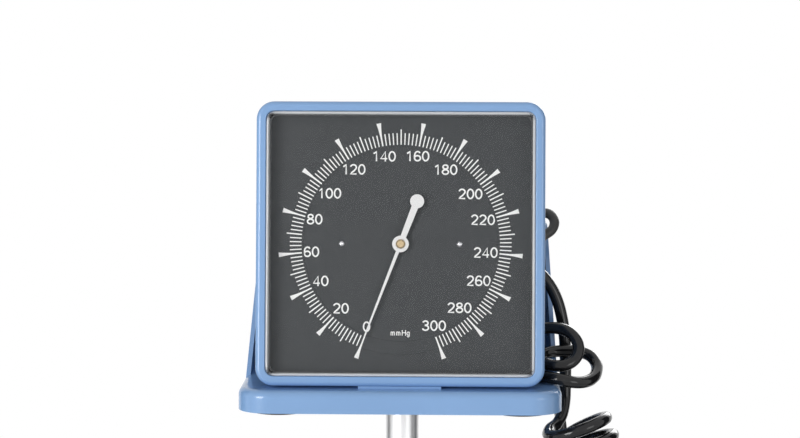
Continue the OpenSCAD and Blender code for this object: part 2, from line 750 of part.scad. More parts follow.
// Socket flange under the tray: the sliding tube turns in it until its screw is tightened
module pole_socket() color([0.12, 0.12, 0.13]) difference() {
    union() {
        translate([0, 0, socket_top - flange_t]) cylinder(h = flange_t, r = flange_r, $fn = fine);
        translate([0, 0, socket_low])
            cylinder(h = socket_top - socket_low - 1, r = slide_d / 2 + 4.5, $fn = fine);
        translate([0, 0, socket_top - flange_t - 6])
            cylinder(h = 6.5, r1 = slide_d / 2 + 4.5, r2 = slide_d / 2 + 9, $fn = fine);
        translate([0, slide_d / 2 + 1, socket_knob_z])
            rotate([-90, 0, 0]) cylinder(h = 12, r = 6, $fn = fine);
    }
    translate([0, 0, socket_low - 20])
        cylinder(h = slide_top - socket_low + 20 + 0.1, r = slide_d / 2 + run_gap, $fn = fine);
    translate([0, 0, socket_knob_z]) rotate([-90, 0, 0]) cylinder(h = 60, r = stud_r + run_gap, $fn = fine);
    for (a = [45:90:315]) rotate([0, 0, a]) translate([screw_ring, 0, socket_top - 20])
        cylinder(h = 30, r = 1.7, $fn = 24);
}

// Four screws that hold the socket to the tray
module socket_screws() color([0.75, 0.75, 0.77])
    for (a = [45:90:315]) rotate([0, 0, a]) translate([screw_ring, 0, socket_top - flange_t])
        screw(1.55, 9, 3.2, 2);

// A hand screw with a lobed grip, along +X from the tip of its stud
module hand_screw(stud_len, grip_r, grip_t, lobes) {
    rotate([0, 90, 0]) {
        cylinder(h = stud_len, r = stud_r, $fn = fine);
        translate([0, 0, stud_len - 0.5]) cylinder(h = 4, r = grip_r * 0.55, $fn = 48);
        translate([0, 0, stud_len + 3]) difference() {
            union() {
                cylinder(h = grip_t, r = grip_r - 2, $fn = 48);
                for (k = [0:lobes - 1]) rotate([0, 0, 360 / lobes * k])
                    translate([grip_r * 0.72, 0, 0])
                        cylinder(h = grip_t, r = grip_r * 0.28, $fn = 32);
            }
            translate([0, 0, grip_t - 1.5]) cylinder(h = 2, r = grip_r * 0.5, $fn = 48);
        }
    }
}

stud_tip = slide_d / 2 + 0.1;

// Hand screw of the socket, behind the pole
module socket_knob() color([0.08, 0.08, 0.08])
    rotate([0, 0, 90]) translate([stud_tip, 0, socket_knob_z]) hand_screw(14, 8.5, 12, 6);

// Chromed sliding tube
module sliding_tube() color([0.85, 0.86, 0.88]) difference() {
    translate([0, 0, slide_low]) cylinder(h = slide_top - slide_low, r = slide_d / 2, $fn = fine);
    translate([0, 0, slide_low - 1])
        cylinder(h = slide_top - slide_low + 2, r = slide_d / 2 - tube_wall, $fn = fine);
}

// Nylon bush on the sliding tube's lower end
module guide_bush() color([0.9, 0.9, 0.88]) difference() {
    translate([0, 0, slide_low - 4]) cylinder(h = 30, r = fixed_in - run_gap, $fn = fine);
    translate([0, 0, slide_low]) cylinder(h = 31, r = slide_d / 2, $fn = fine);
    translate([0, 0, slide_low - 5]) cylinder(h = 10, r = slide_d / 2 - tube_wall, $fn = fine);
}

// Fixed outer tube with its threaded plug
module fixed_tube() color([0.85, 0.86, 0.88]) difference() {
    translate([0, 0, fixed_low]) cylinder(h = fixed_top - fixed_low, r = fixed_d / 2, $fn = fine);
    translate([0, 0, fixed_low + 12]) cylinder(h = fixed_top - fixed_low, r = fixed_in, $fn = fine);
    translate([0, 0, fixed_low - 1]) cylinder(h = 14, r = 4, $fn = 32);
}

collar_wall = 4;

// Clamp collar on the fixed tube: guides the sliding tube and carries the height screw
module height_collar() color([0.08, 0.08, 0.08]) difference() {
    union() {
        rotate_extrude($fn = fine) {
            translate([0, collar_low]) square([fixed_d / 2 + collar_wall, collar_top - collar_low - 3]);
            translate([0, collar_low]) square([fixed_d / 2 + collar_wall - 3, collar_top - collar_low]);
            translate([fixed_d / 2 + collar_wall - 3, collar_top - 3]) circle(3, $fn = 48);
            translate([0, fixed_top - 6]) square([fixed_d / 2 + collar_wall + 1.2, 3]);
        }
        translate([slide_d / 2 + 1, 0, knob_z]) rotate([0, 90, 0]) cylinder(h = 13, r = 7, $fn = fine);
    }
    translate([0, 0, collar_low - 1]) cylinder(h = fixed_top - collar_low + 1, r = fixed_d / 2, $fn = fine);
    translate([0, 0, collar_low]) cylinder(h = 60, r = slide_d / 2 + run_gap, $fn = fine);
    translate([0, 0, knob_z]) rotate([0, 90, 0]) cylinder(h = 60, r = stud_r + run_gap, $fn = fine);
}

// Hand screw of the height collar
module height_knob() color([0.08, 0.08, 0.08])
    translate([stud_tip, 0, knob_z]) hand_screw(16, 15, 14, 6);

arm_angles = [for (k = [0:4]) 234 + 72 * k];
arm_rise = 20;
hub_low = arm_low - 1;

// Outline of one arm seen from above, thinned by an inset
module arm_plan(inset) {
    polygon([
        [0, -arm_root / 2 + inset], [base_r, -arm_tip / 2 + inset],
        [base_r, arm_tip / 2 - inset], [0, arm_root / 2 - inset]
    ]);
}

// One arm as a cone cut to its plan, from one distance to another
module arm_body(inset, x0, x1) {
    intersection() {
        translate([0, 0, arm_low]) rotate([0, 90, 0])
            cylinder(
                h = base_r, r1 = arm_root / 2 + arm_rise - inset, r2 = arm_tip / 2 + 4 - inset, $fn = fine
            );
        translate([0, 0, arm_low - 1]) linear_extrude(80) arm_plan(inset);
        translate([x0, -50, arm_low - (inset > 0 ? 1 : 0)]) cube([x1 - x0, 100, 80]);
    }
}

// Five-armed moulded base: hollow ribbed arms round a hub, with a castor socket at each tip
module star_base() color([0.1, 0.1, 0.11]) difference() {
    union() {
        rotate_extrude($fn = fine) {
            translate([0, hub_low]) square([hub_r, hub_top - hub_low - 10]);
            translate([0, hub_low]) square([hub_r - 10, hub_top - hub_low]);
            translate([hub_r - 10, hub_top - 10]) circle(10, $fn = fine);
        }
        for (a = arm_angles) rotate([0, 0, a]) {
            arm_body(0, hub_r - 3, base_r);
            translate([base_r, 0, arm_low]) cylinder(h = boss_top - arm_low - 3, r = arm_tip / 2, $fn = fine);
            translate([base_r, 0, arm_low]) cylinder(h = boss_top - arm_low, r = arm_tip / 2 - 3, $fn = fine);
            translate([base_r, 0, boss_top - 3]) rotate_extrude($fn = fine)
                translate([arm_tip / 2 - 3, 0]) circle(3, $fn = 32);
        }
    }
    for (a = arm_angles) rotate([0, 0, a]) {
        step = (base_r - arm_tip / 2 - hub_r - 4) / 4;
        for (k = [0:3])
            arm_body(3.5, hub_r + 2 + step * k, hub_r + 2 + step * (k + 1) - 2.5);
        translate([base_r, 0, arm_low - 1]) cylinder(h = 18, r = stem_r + run_gap, $fn = fine);
    }
    translate([0, 0, fixed_low]) cylinder(h = 100, r = fixed_d / 2, $fn = fine);
    translate([0, 0, hub_low - 1]) cylinder(h = 20, r = 4.1, $fn = 32);
    translate([0, 0, hub_low - 1]) difference() {
        cylinder(h = hub_top - arm_low - 16, r = hub_r - 4, $fn = fine);
        cylinder(h = 100, r = fixed_d / 2 + 5, $fn = fine);
    }
}

// Trim ring where the pole leaves the hub
module hub_cap() color([0.42, 0.6, 0.84]) difference() {
    translate([0, 0, hub_top]) rotate_extrude($fn = fine) {
        square([fixed_d / 2 + 3, 8]);
        square([fixed_d / 2 + 6, 5]);
        translate([fixed_d / 2 + 3, 5]) circle(3, $fn = 48);
    }
    translate([0, 0, hub_top - 1]) cylinder(h = 20, r = fixed_d / 2 + 0.1, $fn = fine);
}

// Bolt and washer that pull the pole into the hub
module base_bolt() color([0.7, 0.7, 0.72]) {
    translate([0, 0, hub_low - 1.6]) cylinder(h = 1.6, r = 9, $fn = 48);
    translate([0, 0, hub_low - 6.9]) cylinder(h = 5.4, r = 7.2, $fn = 6);
    translate([0, 0, hub_low - 2]) cylinder(h = 18, r = 3.95, $fn = 32);
}

axle_r = 3;
ear_t = 2.5;
ear_gap = 1;
brake_r = wheel_d / 2 + 6;
brake_x = wheel_trail + brake_r * cos(50);
brake_z = wheel_d / 2 + brake_r * sin(50);
brake_pin_r = 2;

// Places its children at a castor's swivel, with its trail pointing outward
module at_castor(k) rotate([0, 0, arm_angles[k - 1]]) translate([base_r, 0, 0]) children();

// Fork with its stem, riveted axle and, where it has a brake, the brake's pin
module castor(k, braked) color([0.8, 0.81, 0.83]) at_castor(k) {
    ear = wheel_w / 2 + ear_gap;
    bridge = wheel_d + 4;
    difference() {
        union() {
            for (s = [-1, 1]) translate([0, s > 0 ? ear + ear_t : -ear, 0]) rotate([90, 0, 0])
                linear_extrude(ear_t) {
                    polygon([
                        [-10, bridge + 2], [-10, bridge - 2], [wheel_trail - 6.5, wheel_d / 2 - 2],
                        [wheel_trail + 6.5, wheel_d / 2 - 2],
                        each (braked ? [[brake_x + 3.5, brake_z - 3], [brake_x + 3.5, brake_z + 2]] : []),
                        [wheel_trail + 8, bridge + 2]
                    ]);
                    translate([wheel_trail, wheel_d / 2]) circle(7, $fn = 48);
                }
            translate([-10, -ear - ear_t, bridge]) cube([wheel_trail + 16, 2 * (ear + ear_t), 3]);
            translate([0, 0, bridge + 1]) cylinder(h = arm_low - bridge - 1.4, r = 12, $fn = fine);
            translate([0, 0, bridge + 1]) cylinder(h = arm_low - bridge + 14, r = stem_r, $fn = fine);
        }
    }
    translate([wheel_trail, 0, wheel_d / 2]) rotate([90, 0, 0]) {
        cylinder(h = 2 * (ear + ear_t), r = axle_r, center = true, $fn = fine);
        for (s = [-1, 1]) translate([0, 0, s * (ear + ear_t + 0.7)])
            cylinder(h = 1.6, r = 4.6, center = true, $fn = 48);
    }
    if (braked) translate([brake_x, 0, brake_z]) rotate([90, 0, 0])
        cylinder(h = 2 * (ear + ear_t) + 1, r = brake_pin_r, center = true, $fn = 32);
}

// Wheel with a round tread and dished sides
module wheel(k) color([0.15, 0.15, 0.16]) at_castor(k)
    translate([wheel_trail, 0, wheel_d / 2]) rotate([90, 0, 0]) difference() {
        rotate_extrude($fn = 96) {
            translate([0, -wheel_w / 2]) square([wheel_d / 2 - 3, wheel_w]);
            translate([0, -wheel_w / 2 + 3]) square([wheel_d / 2, wheel_w - 6]);
            for (s = [-1, 1]) translate([wheel_d / 2 - 3, s * (wheel_w / 2 - 3)]) circle(3, $fn = 32);
        }
        for (s = [-1, 1]) translate([0, 0, s * (wheel_w / 2)]) difference() {
            cylinder(h = 7, r = wheel_d / 2 - 6, center = true, $fn = fine);
            cylinder(h = 9, r = 6, center = true, $fn = fine);
        }
        cylinder(h = wheel_w + 2, r = axle_r + run_gap, center = true, $fn = fine);
    }

// Angle that the foot pedal is pressed down by, so that its shoe stands on the tread
brake_press = 11;

// Foot pedal with its shoe, pressed
module brake_lever(k) color([0.2, 0.2, 0.21]) at_castor(k)
    translate([brake_x, 0, brake_z]) rotate([0, brake_press, 0]) difference() {
    half = wheel_w / 2 + ear_gap - lie_gap;
    union() {
        rotate([90, 0, 0]) cylinder(h = 2 * half, r = 4, center = true, $fn = 48);
        rotate([90, 0, 0]) linear_extrude(2 * half, center = true)
            polygon([[-1.5, 0], [2, 0], [2.5, -6.5], [0.6, -7.4]]);
        rotate([90, 0, 0]) linear_extrude(2 * half + 4, center = true)
            polygon([[4.5, 1], [4.5, 4], [26, 8], [31, 12], [32.5, 10.5], [27, 5]]);
        rotate([90, 0, 0]) linear_extrude(2 * half, center = true)
            polygon([[0, -2], [0, 4], [6, 4.2], [6, 1]]);
    }
    rotate([90, 0, 0]) cylinder(h = 60, r = brake_pin_r + run_gap, center = true, $fn = 32);
}

// Rolled cuff, bulb and hose
cuff_x = -8;
cuff_y = 34;
cuff_seam = 290;
cuff_wrap = 2.4;
function cuff_reach(a) = cuff_d / 2 - cuff_wrap * a / 360;
cuff_z = tray_z + cuff_reach(cuff_seam - 270) + lie_gap;
bulb_x = 10;
bulb_len = 75;
bulb_y = basket_back - (cuff_d + bulb_d / 2) * tan(wall_lean) - bulb_d / 2 - 2 * lie_gap;
bulb_z = cuff_z + sqrt(pow(cuff_reach(cuff_seam - 72) + bulb_d / 2 + lie_gap, 2) - pow(bulb_y - cuff_y, 2));
bulb_neck = 8;
valve_len = 14;
tube_d = 5.8;
connector_x = 38;
connector_z = tray_z + 12;
connector_len = 24;

// A lathe shape turned about the width, its profile's Y along +X
module turned_along(x, y, z) {
    translate([x, y, z]) rotate([0, 90, 0]) rotate_extrude($fn = fine) children();
}

// Cuff rolled up, its free end a step along the outside and its middle open
module cuff() color([0.12, 0.13, 0.16]) {
    core_r = 6;
    translate([cuff_x - cuff_len / 2, cuff_y, cuff_z])
        rotate([90, 0, 90]) linear_extrude(cuff_len) difference() {
            polygon([for (a = [0:7.5:360]) cuff_reach(a) * [cos(cuff_seam - a), sin(cuff_seam - a)]]);
            circle(core_r, $fn = 48);
        }
}

// Hand bulb lying on the cuff
module bulb() color([0.1, 0.1, 0.1]) {
    steps = 20;
    turned_along(bulb_x, bulb_y, bulb_z) difference() {
        polygon(concat(
            [[0, -bulb_len / 2], [bulb_neck, -bulb_len / 2]],
            [for (i = [1:steps - 1]) [
                max(bulb_neck, bulb_d / 2 * pow(sin(180 * i / steps), 0.72)),
                bulb_len * (i / steps - 0.5)
            ]],
            [[bulb_neck, bulb_len / 2], [0, bulb_len / 2]]
        ));
        for (s = [-1, 1]) translate([0, s * bulb_len / 2 - 5]) square([4, 10]);
    }
}

// Metal inlet valve in the bulb's far end
module inlet_valve() color([0.8, 0.8, 0.82]) difference() {
    turned_along(bulb_x - bulb_len / 2, bulb_y, bulb_z) {
        square([4, 5]);
        translate([0, -3]) square([bulb_neck - 1, 3]);
        translate([0, -5]) square([bulb_neck - 2.5, 2.5]);
    }
    turned_along(bulb_x - bulb_len / 2, bulb_y, bulb_z) translate([0, -6]) square([1.2, 4]);
}

// Release valve in the bulb's near end, with the nipple of its tube
module valve_body() color([0.8, 0.8, 0.82]) difference() {
    union() {
        turned_along(bulb_x + bulb_len / 2, bulb_y, bulb_z) {
            translate([0, -5]) square([4, 5]);
            square([bulb_neck - 1, 4]);
            square([bulb_neck - 2, valve_len - 2]);
            square([bulb_neck - 3.5, valve_len]);
        }
        translate([bulb_x + bulb_len / 2 + 8, bulb_y, bulb_z]) cylinder(h = 9, r = 3.6, $fn = 48);
    }
    translate([bulb_x + bulb_len / 2 + 8, bulb_y, bulb_z + 2]) cylinder(h = 9, r = 1.6 + run_gap, $fn = 48);
}

// Knurled thumb screw of the release valve
module valve_screw() color([0.8, 0.8, 0.82]) translate([bulb_x + bulb_len / 2 + 8, bulb_y, bulb_z]) {
    translate([0, 0, 4]) cylinder(h = 8, r = 1.6, $fn = 48);
    translate([0, 0, 9.3]) difference() {
        cylinder(h = 8, r = 5.4, $fn = 48);
        for (a = [0:30:330]) rotate([0, 0, a]) translate([5.6, 0, -1]) cylinder(h = 10, r = 0.6, $fn = 16);
    }
}

// Smooth curves through points chosen by hand
function unit(v) = v / norm(v);
function span(p, i) = norm(p[i + 1] - p[i]);
function slope(p, i) =
    i == 0 ? (p[1] - p[0]) / span(p, 0) :
    i == len(p) - 1 ? (p[i] - p[i - 1]) / span(p, i - 1) :
    let (u = span(p, i - 1), v = span(p, i))
        ((p[i + 1] - p[i]) * u / v + (p[i] - p[i - 1]) * v / u) / (u + v);
function on_curve(p, i, t) = let (h = span(p, i), s = t * t, c = t * t * t)
    (2 * c - 3 * s + 1) * p[i] + (c - 2 * s + t) * h * slope(p, i)
    + (3 * s - 2 * c) * p[i + 1] + (c - s) * h * slope(p, i + 1);
function smooth(p, n) = concat(
    [for (i = [0:len(p) - 2], k = [0:n - 1]) on_curve(p, i, k / n)],
    [p[len(p) - 1]]
);
function heading(p, i) = unit(p[min(i + 1, len(p) - 1)] - p[max(i - 1, 0)]);
function carried(n, t) = unit(n - (n * t) * t);
function least_gap(p, skip, d) =
    min([for (i = [0:len(p) - 1 - skip]) min([for (j = [i + skip:len(p) - 1]) norm(p[i] - p[j])])]) - d;

// A round tube swept along points, without twist
module tube(p, d, sides) {
    last = len(p) - 1;
    normals = [for (i = 0, n = carried([0.1, 1, 0.2], heading(p, 0)); i <= last;
        i = i + 1, n = carried(n, heading(p, min(i, last)))) n];
    polyhedron(
        [for (i = [0:last], k = [0:sides - 1])
            let (a = 360 * k / sides, n = normals[i])
                p[i] + d / 2 * (n * cos(a) + cross(heading(p, i), n) * sin(a))],
        concat(
            [[for (k = [0:sides - 1]) k]],
            [for (i = [0:last - 1], k = [0:sides - 1], h = [0, 1])
                let (a = i * sides + k, b = i * sides + (k + 1) % sides)
                    h == 0 ? [a, a + sides, b + sides] : [a, b + sides, b]],
            [[for (k = [sides - 1:-1:0]) last * sides + k]]
        )
    );
}

// Where the elbow's outlet ends and which way it points, in the part's own frame
function from_head(v) = [
    v.x,
    v.y * cos(head_tilt) + v.z * sin(head_tilt),
    v.z * cos(head_tilt) - v.y * sin(head_tilt)
];
elbow_dir = from_head([cos(elbow_turn), 0, sin(elbow_turn)]);
elbow_end = [0, face_y, tray_z + head_gap]
    + from_head([
        port_x + elbow_len * cos(elbow_turn), elbow_y, port_z + elbow_len * sin(elbow_turn) + head_h / 2
    ]);

// Route of the hose from the elbow, over the basket's raked side and down beside the tray
coil_top = [94.4, -9, 908];
lead_route = concat(
    [elbow_end, elbow_end + 7 * elbow_dir],
    [
        [34, -8, 961], [50, -8, 965.3], [65, -8.4, 964.8], [76.5, -9, 960.2], [84.4, -9.3, 952],
        [89.2, -9.5, 942.5], [92.2, -9.5, 931.5], [93.8, -9.3, 920]
    ],
    [coil_top]
);

// Middle line of the hanging coil, and the curls wound round it
coil_line = [
    [96, -36, 883], [105.5, -36, 860.5], [110.5, -33.5, 837], [111, -27, 813.5], [109, -16.5, 791],
    [106.5, -4, 769.5], [104, 9, 749], [101.5, 23, 729], [100.5, 38, 710]
];
coil_sag = len(coil_line) - 1;
curl_steps = 8;
curl_rings = curl_steps * curls - curl_steps / 4;
function curl_point(n) = let (
    u = coil_sag * n / curl_rings,
    i = min(floor(u), coil_sag - 1),
    along = unit(on_curve(coil_line, i, min(u - i + 0.02, 1)) - on_curve(coil_line, i, max(u - i - 0.02, 0))),
    right = unit(cross(along, [0, -1, 0])),
    back = cross(right, along),
    a = 360 * n / curl_steps
) on_curve(coil_line, i, u - i) + curl_d / 2 * (back * cos(a) - right * sin(a));
curl_end = curl_point(curl_rings);
curl_out = unit(curl_end - curl_point(curl_rings - 0.2));
coil_foot = curl_end + 8 * curl_out;
first_curl = 6;
coil_route = concat(
    smooth([
        coil_top, coil_top + [0, -0.2, -8.5], [94.3, -10, 891.5], [93.9, -12, 884], [92.4, -15.6, 877.4],
        [89.6, -20.4, 873], curl_point(first_curl - 0.6), curl_point(first_curl)
    ], 2),
    [for (n = [first_curl + 1:curl_rings]) curl_point(n)],
    [coil_foot]
);

// Route back: up behind the tray, over the back wall, forward along the floor, two loose
// loops over the tray's corner, and in behind the head to the connector
return_route = concat(
    [coil_foot, coil_foot + 7 * curl_out],
    [
        [80.8, 22.5, 693.3], [80.1, 22.2, 684.6], [80.6, 26.3, 676.9], [83, 33.8, 672.2],
        [87, 42.5, 671.9], [92, 50.3, 676], [98, 58.5, 684], [104, 66, 695],
        [108.5, 72, 708], [111.5, 76.5, 723], [112, 80, 740], [110.5, 83, 757],
        [107, 86.5, 778], [103, 89, 800], [100, 90, 822], [98, 90, 845],
        [94.5, 90, 868], [89, 88, 890], [83.5, 86, 914], [79.5, 84.5, 938], [76.5, 84.3, 960],
        [75.5, 83.2, 976], [75.2, 79, 983.2], [75, 70.6, 986.4], [75.2, 62, 983.2],
        [75.8, 57.6, 975], [77, 55, 960], [78.3, 52, 942], [79.4, 47, 924], [80.2, 38, 909.5],
        [80.5, 27, 904.3], [80.5, 12, 903.8], [80.2, -8, 903.8], [78.9, -24, 903.8],
        [78.3, -35, 903.8], [79.6, -42.6, 903.8], [83.2, -47.6, 903.8], [89, -50.4, 903.3],
        [95.5, -50.2, 901.8], [102, -46.6, 901], [107.6, -40, 901.8], [110.9, -31, 904.6],
        [110.9, -23.6, 908.4], [107.8, -19, 911.8], [102, -17, 913.8], [93, -17, 914.2],
        [85, -19.4, 913.8], [79.8, -24.6, 912.8], [77.9, -31, 911.9], [79, -37, 911.3],
        [82.6, -41.8, 910.4], [88, -44.2, 909.8], [93.8, -43.6, 910.6], [98.2, -41, 913.6],
        [100.2, -38, 918.4], [98.8, -35.2, 923.6], [94.8, -32.6, 927.4], [89.3, -29.8, 929],
        [83, -26.4, 928.8], [77.4, -21, 927], [71, -15.4, 923.6], [63.5, -8.6, 919.2],
        [57, -3.2, 915], [50.5, -0.5, 912.5], [connector_x + 6, 0, connector_z]
    ],
    [[connector_x, 0, connector_z]]
);

// Hose from the elbow to the coil
module hose_lead() color([0.05, 0.05, 0.05]) tube(smooth(lead_route, 2), hose_d, 10);

// Curly part of the hose, one unbroken tube
module hose_coil() color([0.05, 0.05, 0.05]) {
    echo(least_gap_in_coil = least_gap(coil_route, 4, hose_d));
    tube(coil_route, hose_d, 6);
}

// Hose from the coil to the cuff's connector
module hose_return() color([0.05, 0.05, 0.05]) {
    echo(least_gap_in_return = least_gap(smooth(return_route, 2), 8, hose_d));
    tube(smooth(return_route, 2), hose_d, 8);
}

// Twist connector between the hose and the cuff's own tube
module hose_connector() color([0.8, 0.8, 0.82]) turned_along(connector_x - connector_len, 0, connector_z) {
    translate([0, connector_len - 4]) square([4.4, 4]);
    translate([0, 12]) square([6.2, connector_len - 16]);
    translate([0, 10]) square([5.2, 2]);
    translate([0, 3]) square([5.8, 7]);
    square([3.8, 3]);
}

cuff_tube_route = [
    [connector_x - connector_len, 0, connector_z], [connector_x - connector_len - 6, 0, connector_z],
    [1, 0.6, 912.4], [-6, 3, 913], [-12, 7.6, 913.6], [-15, 12.5, 914], [-15, 15.5, 914]
];

// Short tube that leaves the cuff's roll
module cuff_tube() color([0.14, 0.14, 0.14]) tube(smooth(cuff_tube_route, 3), tube_d, 8);

bulb_tube_route = concat(
    [
        [bulb_x + bulb_len / 2 + valve_len, bulb_y, bulb_z],
        [bulb_x + bulb_len / 2 + valve_len + 5, bulb_y, bulb_z]
    ],
    [
        [73, 46.5, 974.4], [76, 43.4, 981.4], [79.6, 39.8, 986.6], [83.6, 35.8, 988.8], [87.2, 31.8, 987.6],
        [89, 28, 984], [87.6, 25, 980], [82.8, 22.8, 976.6], [75.6, 20.6, 972.2], [66, 18.8, 964.2],
        [57.4, 19.4, 955.4], [51.4, 21.6, 947.6], [48.6, 23, 943.6]
    ]
);

// Tube from the bulb's valve to the cuff
module bulb_tube() color([0.2, 0.2, 0.2]) tube(smooth(bulb_tube_route, 2), tube_d, 8);

module castor_1() castor(1, true);
module castor_2() castor(2, true);
module castor_3() castor(3, false);
module castor_4() castor(4, false);
module castor_5() castor(5, false);
module wheel_1() wheel(1);
module wheel_2() wheel(2);
module wheel_3() wheel(3);
module wheel_4() wheel(4);
module wheel_5() wheel(5);
module brake_lever_1() brake_lever(1);
module brake_lever_2() brake_lever(2);

star_base();
hub_cap();
base_bolt();
fixed_tube();
height_collar();
height_knob();
sliding_tube();
guide_bush();
pole_socket();
socket_screws();
socket_knob();
tray();
rubber_feet();
head_bracket();
bracket_screws();
rear_case();
case_screws();
bezel();
lens();
lens_seal();
dial_plate();
dial_screws();
pointer();
pointer_boss();
arbor_pinion();
hairspring();
sector_gear();
rocking_shaft();
push_pin();
front_plate();
back_plate();
pillars();
capsule();
port_fitting();
port_nut();
hose_elbow();
hose_lead();
hose_coil();
hose_return();
hose_connector();
cuff();
cuff_tube();
bulb_tube();
bulb();
valve_body();
valve_screw();
inlet_valve();
castor_1();
castor_2();
castor_3();
castor_4();
castor_5();
wheel_1();
wheel_2();
wheel_3();
wheel_4();
wheel_5();
brake_lever_1();
brake_lever_2();
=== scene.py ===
"""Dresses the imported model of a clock-dial blood pressure gauge on a wheeled stand.

Lengths are in metres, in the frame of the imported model.
"""

import json
import logging
import math
from dataclasses import dataclass, field
from enum import Enum
from typing import Any, Iterable, Iterator, Sequence

import bmesh
import bpy
from mathutils import Matrix, Vector, noise

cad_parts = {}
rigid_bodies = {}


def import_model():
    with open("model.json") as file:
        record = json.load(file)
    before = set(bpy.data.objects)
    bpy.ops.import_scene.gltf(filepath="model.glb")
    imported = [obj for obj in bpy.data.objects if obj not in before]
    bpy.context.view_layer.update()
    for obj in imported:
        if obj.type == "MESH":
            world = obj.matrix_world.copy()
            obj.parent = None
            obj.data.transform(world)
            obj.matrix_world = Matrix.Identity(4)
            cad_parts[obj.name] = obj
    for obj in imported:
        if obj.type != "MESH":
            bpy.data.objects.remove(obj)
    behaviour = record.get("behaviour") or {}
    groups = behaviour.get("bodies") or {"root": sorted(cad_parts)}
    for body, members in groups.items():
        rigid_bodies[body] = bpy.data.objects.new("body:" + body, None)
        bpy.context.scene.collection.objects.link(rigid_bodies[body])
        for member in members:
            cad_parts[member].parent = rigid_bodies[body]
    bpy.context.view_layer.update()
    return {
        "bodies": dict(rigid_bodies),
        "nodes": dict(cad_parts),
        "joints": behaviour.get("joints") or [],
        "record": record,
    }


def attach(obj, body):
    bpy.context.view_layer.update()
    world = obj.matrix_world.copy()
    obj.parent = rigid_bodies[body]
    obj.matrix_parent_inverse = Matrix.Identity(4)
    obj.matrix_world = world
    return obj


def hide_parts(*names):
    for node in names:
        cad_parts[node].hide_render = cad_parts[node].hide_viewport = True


MM = 0.001
LOG = logging.getLogger("gauge_stand")
Colour = tuple[float, float, float]
Point = tuple[float, float, float]
Spot = tuple[float, float]
Socket = bpy.types.NodeSocket


# ---------------------------------------------------------------- where the head leans

@dataclass(frozen=True)
class HeadFrame:
    """The gauge head's own frame: X to the right, Y into the case, Z up its face."""

    face_y: float = -68.5 * MM
    foot_z: float = 901.5544 * MM
    height: float = 157.5 * MM
    lean: float = math.radians(6)

    def matrix(self) -> Matrix:
        """Where the head's frame lies in the model's."""
        return (Matrix.Translation((0, self.face_y, self.foot_z)) @ Matrix.Rotation(-self.lean, 4, "X")
                @ Matrix.Translation((0, 0, self.height / 2)))


# ---------------------------------------------------------------- finishes

